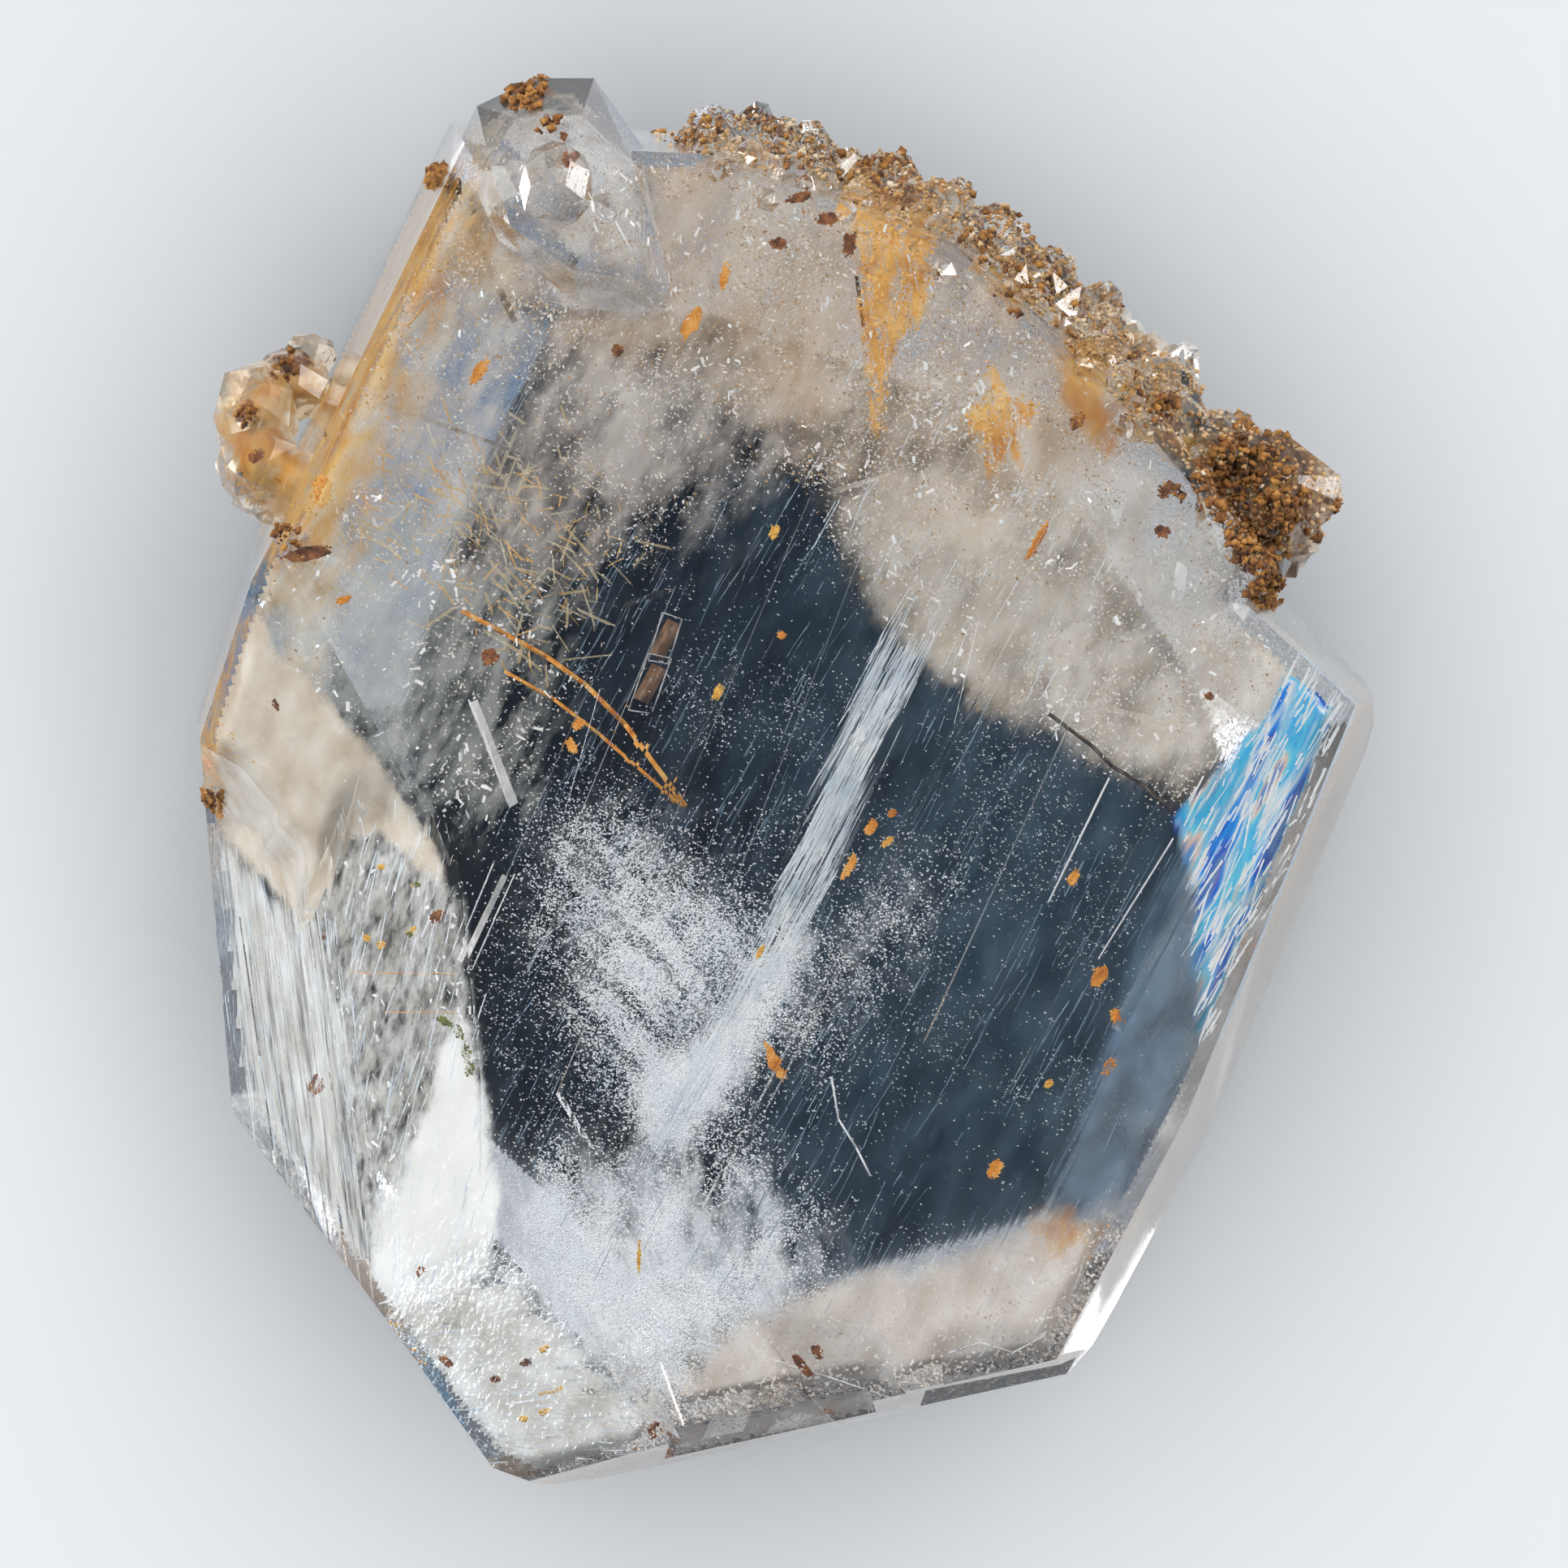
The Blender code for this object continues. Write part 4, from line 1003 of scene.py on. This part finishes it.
def add_window_veils():
    """Blue haze in the dark window, which also paints its blue reflection, a sheet of painted
    shade at its right, the white clouds in it and the ribbon across it.
    """
    east = ramp(GRID_X, -4.0, 6.0)
    white = ((0.72, 0.78, 0.86), (0.90, 0.93, 0.97))
    # Blue haze that also paints the blue reflection in the dark window.
    veil("window_haze_and_reflection", zone(ZONE_WINDOW, 0.7, 0.3, 13) * (0.15 + 0.55 * east), (2.2,), 109,
         ((0.05, 0.12, 0.20), (0.20, 0.34, 0.48)), 0.30, 0.8, (1.0, 0.3, 1.0))
    # Painted shade: a dark blue sheet at the window's right-hand side.
    veil("painted_shade_window", zone(ZONE_PAINTED_SHADE, 0.5, 0.1, 37), (0.3,), 110,
         ((0.02, 0.05, 0.09), (0.12, 0.22, 0.34)), 0.75, 0.9, (1.0, 0.2, 1.0), form=FLAT)
    feather = zone(ZONE_SNOW, 2.6, 0.8, 18) * 0.4 + zone(ZONE_SNOW_RIGHT, 1.8, 0.7, 19) * 0.35
    veil("veil_snow", feather, (0.9,), 111, white, 0.4, 1.4, (1.6, 1.2, 1.6), LINE_ANGLE + 1.2)
    milk = zone(ZONE_SNOW_LOW, 2.2, 1.2, 15) * 0.6 + zone(ZONE_SNOW_TIP, 0.9, 0.3, 17)
    veil("veil_milk", milk, (0.9, 2.0), 113, white, 0.7, 1.8, (1.4, 0.6, 1.4), LINE_ANGLE + 0.6)
    length = 0.42 + 0.3 * ramp(-np.abs(GRID_Y + 0.2), -2.6, 0.0) + 0.3 * ramp(-GRID_Y, 5.0, 8.0)
    veil("veil_ribbon", zone(ZONE_RIBBON, 0.4, 0.1, 21) * length, (1.0,), 115,
         ((0.50, 0.62, 0.70), (0.84, 0.90, 0.95)), 0.8, 3.0, (6.0, 0.10, 6.0), form=FINE)


def add_rim_veils():
    """Haze close under the sloping faces all round the front face. Under the narrow faces at the
    left and the foot the pale haze also paints their sheen, and the bright patch on the inner face
    and the grey on the bevel are painted reflections.
    """
    bottom = zone(ZONE_BOTTOM, 0.6, 0.3, 11)
    veil("veil_beige", bottom, (0.3, 1.0), 117, ((0.64, 0.56, 0.50), (0.88, 0.84, 0.80)),
         0.85, 1.2, (1.0, 0.4, 1.0), form=FINE)
    haze = mottled("edge_haze", ((0.60, 0.52, 0.46), (0.90, 0.86, 0.82)))
    below = ramp(-14.6 + 0.3 * (GRID_X - 1.2) - GRID_Y, 0.0, 0.6)
    strewn("edge_haze", spread(bottom, 18, np.maximum) * below, 15000, (0.03, 0.3),
           (0.04, 0.14), (0.03, 0.10), haze, seeded("rim"), 0.2, lowest=LOWEST)
    # Haze and painted sheen: pale sheets under the narrow faces at the left and the foot, bright
    # where those faces catch the light.
    bright = ((0.60, 0.58, 0.53), (0.94, 0.96, 0.96))
    veil("haze_and_sheen_outer", zone(ZONE_OUTER_A, 0.3, 0.1, 23) * 0.6, (0.15, 0.7), 119, bright,
         0.72, 2.6, (3.5, 0.15, 3.5), OUTER_ANGLE, form=FLAT)
    veil("haze_and_sheen_inner", zone(ZONE_B, 0.2, 0.05, 25) * 0.45, (0.2, 0.9), 121, bright,
         0.65, 1.8, (3.0, 0.9, 3.0), INNER_ANGLE, form=FINE)
    veil("haze_and_sheen_foot", zone(ZONE_FOOT, 0.2, 0.1, 27) * 0.9, (0.15, 0.7), 123, bright,
         0.9, 2.4, (3.2, 0.35, 3.2), FOOT_ANGLE, form=FINE)
    # Painted reflection: a bright white sheet under the lower part of the inner face, where it
    # mirrors the light.
    veil("painted_reflection_b", zone(ZONE_B_REFLECTION, 0.4, 0.2, 29) * 1.2, (0.12, 0.5), 125,
         ((0.88, 0.90, 0.88), (0.97, 0.98, 0.98)), 0.95, 1.6, (1.2, 0.6, 1.2), form=FLAT)
    veil("veil_ledge", zone(ZONE_LEDGE, 0.3, 0.1, 31), (0.12, 0.6), 127,
         ((0.60, 0.50, 0.38), (0.84, 0.78, 0.68)), 0.85, 1.3, (1.1, 0.9, 1.1), form=FLAT)
    # Painted reflection: a grey sheet under the narrow bevel, grey where that face is seen at a
    # grazing angle.
    veil("painted_reflection_bevel", zone(ZONE_BEVEL, 0.2, 0.1, 33) * 0.5, (0.1,), 129,
         ((0.50, 0.46, 0.48), (0.70, 0.66, 0.68)), 0.6, 0.8, (1.5, 0.2, 1.5), form=FLAT,
         steepest=STEEP)


def add_snow():
    """White specks: dense in the clouds and thin all over the window."""
    rng = seeded("snow")
    white = mottled("snow", ((0.78, 0.84, 0.92), (0.95, 0.96, 0.98)), roughness=0.45)
    feather = 0.2 + 0.8 * ramp(streaks(1.6, 0.28, 61, LINE_ANGLE + 1.2), 0.38, 0.64)
    feather = feather * (0.35 + 0.65 * ramp(streaks(2.2, 0.6, 66), 0.3, 0.65))
    dense = zone(ZONE_SNOW, 1.6, 0.9, 41) * (0.06 + feather)
    dense = dense + zone(ZONE_SNOW, 4.5, 1.0, 42) * 0.09
    dense += (0.8 * zone(ZONE_SNOW_TIP, 0.9, 0.4, 44)
              + 0.4 * zone(ZONE_SNOW_RIGHT, 1.6, 0.8, 45) * (0.1 + feather))
    sown("snow_clouds", dense, 42000, (0.5, 2.6), (0.03, 0.105), white, rng, FOUR_SIDED)
    clumps = 0.1 + patches(1.1, 62, 0.38, 0.62) * (0.3 + feather)
    low = zone(ZONE_SNOW_LOW, 2.2, 1.2, 43) * clumps
    sown("snow_low", low, 34000, (0.4, 2.4), (0.03, 0.11), white, rng, FOUR_SIDED)
    thin = zone(ZONE_WINDOW, 0.8, 0.3, 47) * (0.1 + patches(2.2, 63, 0.4, 0.7))
    thin += 0.5 * zone(ZONE_LEFT, 0.8, 0.5, 48) + 0.6 * zone(ZONE_RIGHT, 0.8, 0.5, 49)
    thin += 0.35 * zone(ZONE_TOP, 1.0, 0.5, 50) + 0.4 * zone(ZONE_GREY, 1.0, 0.5, 46)
    sown("snow_specks", thin, 22000, (0.3, 4.0), (0.025, 0.08), white, rng, FOUR_SIDED)


def add_flecks():
    """Tiny pale and dark flakes that make the milky parts grainy."""
    rng = seeded("flecks")
    grain = 0.2 + patches(1.0, 67, 0.4, 0.6)
    milky = (zone(ZONE_RIGHT, 0.8, 0.6, 141) + 0.8 * zone(ZONE_TOP, 1.2, 0.8, 142)
             + 0.6 * zone(ZONE_GREY, 1.6, 1.0, 143))
    pale = mottled("pale_flecks", ((0.50, 0.44, 0.38), (0.72, 0.68, 0.63), (0.92, 0.90, 0.87)),
                   (3.0, 3.0, 3.0), 0.5)
    strewn("pale_flecks", (milky + 0.4 * zone(ZONE_LEFT, 1.2, 0.6, 144)) * grain, 13000,
           (0.2, 1.6), (0.03, 0.14), (0.02, 0.07), pale, rng, 0.4)
    brownish = (0.8 * zone(ZONE_TOP, 1.2, 0.8, 145) + 0.5 * zone(ZONE_FLANK, 0.6, 0.4, 146)
                + 0.3 * milky)
    tan = mottled("tan_flecks", ((0.30, 0.17, 0.07), (0.58, 0.40, 0.22)), (3.0, 3.0, 3.0))
    strewn("tan_flecks", brownish * grain, 6000, (0.2, 1.4), (0.03, 0.13), (0.02, 0.07), tan,
           rng, 0.4)


def add_glints():
    """Painted glints: bright white plates that stand in for flashes of light inside the milky
    parts and on the small crystals, and painted highlights on facets.
    """
    bright = mottled("glint", ((0.90, 0.93, 0.95), (0.99, 0.99, 0.99)), roughness=0.25)
    spots = 0.7 * zone(ZONE_LEFT, 0.6, 0.5, 131) + zone(ZONE_RIGHT, 0.6, 0.5, 132) * 0.6
    spots += 0.35 * zone(ZONE_TOP, 0.6, 0.5, 133) + 0.5 * zone(ZONE_B, 0.3, 0.2, 134)
    spots += 0.7 * zone(ZONE_FOOT, 0.3, 0.2, 135) + 0.7 * zone(ZONE_BOTTOM, 0.3, 0.2, 136)
    spots = spots * patches(1.5, 137, 0.45, 0.65)
    strewn("glints", spots, 900, (0.1, 1.5), (0.08, 0.4), (0.03, 0.14), bright,
           seeded("glints"), 0.3, LINE_ANGLE + 0.5, 0.8)
    flats("facet_glows", FACET_GLOWS, veil_material(
        "facet_glow", ((0.80, 0.82, 0.82), (0.97, 0.97, 0.97)), 0.8, 0.9, (1.4, 0.4, 1.4)))


def add_growth_lines():
    """Fine pale lines along the growth direction, and across the side faces."""
    rng = seeded("lines")
    pale = mottled("pale_lines", ((0.50, 0.60, 0.70), (0.88, 0.92, 0.95)), roughness=0.4)
    faint = mottled("faint_lines", ((0.10, 0.17, 0.25), (0.32, 0.42, 0.52)), roughness=0.4)
    window = zone(ZONE_WINDOW, 0.4, 0.3, 71) * ramp(streaks(6.0, 0.9, 72), 0.4, 0.62)
    bottom = zone(ZONE_BOTTOM, 0.4, 0.2, 81) + 0.2 * zone(ZONE_RIGHT, 0.6, 0.3, 82)
    strewn("lines_window", window, 620, (0.1, 1.8), (0.3, 2.6), (0.008, 0.03), faint, rng, 0.1,
           LINE_ANGLE, 0.06)
    strewn("lines_ribbon", zone(ZONE_RIBBON, 0.2, 0.1, 73), 520, (0.3, 1.2), (0.8, 4.5),
           (0.01, 0.035), pale, rng, 0.2, LINE_ANGLE, 0.03)
    # On the side faces the pale lines are striae, and their paleness is also painted highlight
    # along them.
    strewn("lines_outer", zone(ZONE_OUTER_A, 0.3, 0.1, 75), 420, (0.08, 0.5), (0.4, 2.6),
           (0.015, 0.07), pale, rng, 0.12, OUTER_ANGLE, 0.04, MID_HEIGHT)
    strewn("lines_inner", zone(ZONE_B, 0.3, 0.2, 77), 200, (0.08, 0.5), (0.4, 1.8),
           (0.02, 0.07), pale, rng, 0.12, INNER_ANGLE, 0.08, MID_HEIGHT)
    strewn("lines_foot", zone(ZONE_FOOT, 0.3, 0.1, 79), 420, (0.08, 0.6), (0.3, 1.7),
           (0.015, 0.06), pale, rng, 0.12, FOOT_ANGLE, 0.08, MID_HEIGHT)
    strewn("lines_bottom", bottom, 200, (0.1, 0.8), (0.4, 2.4), (0.01, 0.04), pale, rng, 0.12,
           LINE_ANGLE, 0.06)


def add_rainbow_crack():
    """A thin crack along the right-hand edge, in the colours of a film of air."""
    rng = seeded("rainbow")
    colors = (
        (0.10, 0.22, 0.55), (0.02, 0.09, 0.62), (0.03, 0.34, 0.95), (0.75, 0.90, 0.98),
        (0.06, 0.50, 0.88), (0.20, 0.72, 0.92), (0.86, 0.60, 0.46), (0.12, 0.30, 0.70),
    )
    film = veil_material("rainbow_film", colors, 1.0, 1.6, (2.4, 0.3, 2.4), roughness=0.3,
                         tint=(1.5, 0.22, 1.5))
    crack = zone(ZONE_IRIS, 0.15, 0.15, 83)
    sheet("rainbow_crack", crack * 0.85, (0.4, 0.8), film, 131, (0.3, 1))
    # Painted glare: bright white plates turned up towards the lamps along the crack.
    glare = mottled("crack_glare", ((0.80, 0.88, 0.96), (0.96, 0.97, 0.98)), roughness=0.3)
    where, normal = inner_places(crack, 260, (0.3, 0.4), rng)
    upward = normal * 0.2 + np.array((0.0, 0.0, 1.0))
    plates("crack_glare", where, upward, (0.3, 1.6), (0.02, 0.09), glare, rng, 0.1, LINE_ANGLE)


def add_rust():
    """Rust blades, specks of four minerals, and orange and dark needles."""
    rng = seeded("rust")
    blade_colors = ((0.52, 0.20, 0.02), (0.80, 0.42, 0.08), (0.88, 0.60, 0.26))
    blade = veil_material("rust_blade", blade_colors, 0.9, 2.6, (4.5, 0.9, 4.5),
                          math.radians(96))
    blades = (zone(ZONE_BLADE, 0.3, 0.25, 85) + zone(ZONE_STAR, 0.3, 0.2, 87)) * 0.8
    sheet("rust_cloud", blades, (0.3,), blade, 133, FLAT)
    fill = zone(ZONE_BLADE, 0.15, 0.25, 85) * ramp(streaks(1.6, 0.3, 86, -1.6), 0.3, 0.5)
    fill += zone(ZONE_STAR, 0.15, 0.2, 87) * ramp(streaks(1.0, 0.3, 88), 0.35, 0.5)
    flakes = mottled("blade_flakes", blade_colors, (2.5, 1.2, 2.5), 0.7)
    strewn("rust_blades", fill, 1500, (0.15, 0.7), (0.06, 0.22), (0.03, 0.09), flakes, rng, 0.5)
    even = (4.0, 4.0, 4.0)
    orange = mottled("rust", ((0.42, 0.12, 0.01), (0.72, 0.30, 0.04), (0.84, 0.50, 0.16)),
                     (2.5, 1.2, 2.5), 0.8)
    brown = mottled("brown_rust", ((0.05, 0.02, 0.01), (0.20, 0.07, 0.02), (0.42, 0.17, 0.05)),
                    even, 0.8)
    amber = mottled("amber_rust", ((0.62, 0.30, 0.04), (0.86, 0.56, 0.12)), even)
    olive = mottled("olive_mineral", ((0.07, 0.09, 0.02), (0.18, 0.20, 0.05)), even, 0.7)
    for name, specks, depth, material in (
        ("rust", RUST_SPECKS, 0.25, orange),
        ("brown", BROWN_SPECKS, 0.12, brown),
        ("amber", AMBER_SPECKS, 0.2, amber),
        ("olive", OLIVE_SPECKS, 0.08, olive),
    ):
        where = speck_places(specks, depth, rng)
        grains(name + "_specks", where, (0.04, 0.12), material, rng)
        outlines = [(ragged(speck, rng), depth + 0.1) for speck in specks]
        flats(name + "_flakes", outlines, material)
    rods("orange_lines", ORANGE_LINES, orange)
    dark = mottled("dark_needle", ((0.015, 0.012, 0.012), (0.07, 0.045, 0.03)), roughness=0.3)
    rods("dark_needles", DARK_NEEDLES, dark)


def add_stains():
    """Ochre and rust that coat the faces and show through them as a tint."""
    rng = seeded("stains")
    colors = ((0.50, 0.20, 0.02), (0.66, 0.36, 0.07), (0.76, 0.52, 0.20))
    soft = veil_material("ochre_haze", colors, 0.9, 1.5, (1.3, 0.7, 1.3))
    left = zone(ZONE_OCHRE_LEFT, 0.9, 0.5, 91)
    left = (left * 0.6 + 0.45 * blur(spread(left, 9, np.maximum), 1.2)
            + zone(ZONE_OCHRE_EDGE, 0.4, 0.3, 92) * 0.7)
    left += zone(ZONE_KNOB, 0.4, 0.3, 90) * 0.6
    sheet("ochre_left", left, (0.2,), soft, 135, FLAT, STEEP)
    right = zone(ZONE_BLOTCH, 0.4, 0.3, 93) * 0.9 + zone(ZONE_DRUSE_PATCH, 0.5, 0.4, 94) * 0.7
    right += (zone(ZONE_ORANGE_CLOUD, 0.6, 0.4, 96) * 0.6
              + zone(ZONE_DRUSE, 0.9, 0.4, 95) * 0.45)
    sheet("ochre_right", right, (0.15,), soft, 137, FLAT)
    flakes = mottled("ochre_flakes", colors, (2.0, 2.0, 2.0), 0.8)
    strewn("ochre_flakes", left + right, 5200, (0.02, 0.3), (0.03, 0.13), (0.02, 0.08), flakes,
           rng, 0.3, lowest=LOWEST)
    yellow = mottled("yellow_bars", ((0.52, 0.36, 0.14), (0.72, 0.66, 0.48)), (1.0, 1.0, 1.0),
                     0.5, 0.55)
    strewn("yellow_bars", zone(ZONE_YELLOW, 1.6, 0.8, 97), 150, (0.3, 1.8), (0.3, 1.9),
           (0.03, 0.13), yellow, rng, 0.2, -0.75, 0.7)
    needles = mottled("ochre_needles", ((0.60, 0.30, 0.06), (0.80, 0.55, 0.24)),
                      (3.0, 3.0, 3.0))
    strewn("ochre_needles", zone(ZONE_YELLOW, 0.8, 0.8, 88), 190, (0.3, 1.6), (0.2, 1.0),
           (0.015, 0.06), needles, rng, 0.2, -0.9, 0.7)


def add_crusts():
    """Sugary grains on the druse, and the crumbly brown mass in the hollow of its lobe."""
    rng = seeded("crusts")
    sugar = mottled("sugar_grains", ((0.40, 0.17, 0.03), (0.62, 0.38, 0.16), (0.80, 0.68, 0.52)),
                    (1.2, 1.2, 1.2))
    sown("druse_grains", zone(ZONE_DRUSE, 0.3, 0.3, 98), 5200, (-0.02, 0.14), (0.08, 0.26),
         sugar, rng, lowest=CRUST_HEIGHT)
    brown = mottled("limonite", ((0.06, 0.025, 0.01), (0.26, 0.10, 0.02), (0.56, 0.27, 0.06)),
                    (3.0, 3.0, 3.0), 0.85)
    mass = (zone(ZONE_LIMONITE, 0.3, 0.3, 99)
            + 0.35 * zone(ZONE_DRUSE_PATCH, 0.3, 0.4, 100) * patches(0.9, 64, 0.45, 0.6))
    mass += 0.10 * zone(ZONE_DRUSE, 0.3, 0.3, 101) * patches(1.0, 65, 0.45, 0.6)
    for x, y, size in CRUST_SPOTS:
        mass += 0.9 * ramp(-np.hypot(GRID_X - x, GRID_Y - y), -size, -size / 2)
    sown("limonite_crust", mass, 3400, (-0.08, 0.15), (0.1, 0.42), brown, rng,
         lowest=CRUST_HEIGHT)


def add_cracks():
    """Fine white cracks, and two brown cells that a crystal once filled."""
    white = mottled("white_crack", ((0.70, 0.74, 0.80), (0.92, 0.94, 0.96)), roughness=0.4)
    rods("white_cracks", WHITE_CRACKS, white)
    rims, fillings = [], []
    for corners in CELL_INCLUSIONS:
        rims += [(ends, *CELL_RIM) for ends in zip(corners, corners[1:] + corners[:1])]
        middle = np.mean(corners, axis=0)
        half = CELL_HALF * np.array(LINE)
        fillings.append(((middle + half, middle - half), *CELL_FILLING))
    grey = mottled("cell_rim", ((0.20, 0.18, 0.17), (0.52, 0.52, 0.54)), roughness=0.4)
    rods("cell_outlines", rims, grey)
    brown = mottled("cell_filling", ((0.06, 0.03, 0.015), (0.24, 0.13, 0.06)), (3.0, 3.0, 3.0),
                    0.5)
    rods("cell_fillings", fillings, brown)


add_camera()
floor = add_floor()
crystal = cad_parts[NODE]
crystal.data.materials.clear()
crystal.data.materials.append(quartz_material())

TRIANGLES = mesh_triangles(crystal)
SKIN = skin_places(TRIANGLES, SKIN_COUNT)
HIGH, LOW = height_maps(TRIANGLES)
GRID_X, GRID_Y = np.meshgrid(
    MAP_LOW[0] + CELL * np.arange(MAP_CELLS[0]),
    MAP_LOW[1] + CELL * np.arange(MAP_CELLS[1]),
    indexing="ij",
)
ROOF = spread(HIGH, RIM_CELLS, np.minimum)
INNER_ROOF = blur(ROOF, ROOF_BLUR)
BASE = spread(LOW, RIM_CELLS, np.maximum) + GAP
SOLID = (ROOF - BASE > LEAST_ROOM).astype(float)
SLOPE_X, SLOPE_Y = (
    np.clip(slope, -SLOPE_LIMIT, SLOPE_LIMIT)
    for slope in np.gradient(blur(HIGH, SLOPE_BLUR), CELL)
)

add_upper_veils()
add_window_veils()
add_rim_veils()
add_snow()
add_flecks()
add_glints()
add_growth_lines()
add_rainbow_crack()
add_rust()
add_stains()
add_crusts()
add_cracks()
add_world()
add_lights(floor, crystal)

scene = bpy.context.scene
scene.view_settings.view_transform = "Standard"
for setting, value in CYCLES.items():
    setattr(scene.cycles, setting, value)
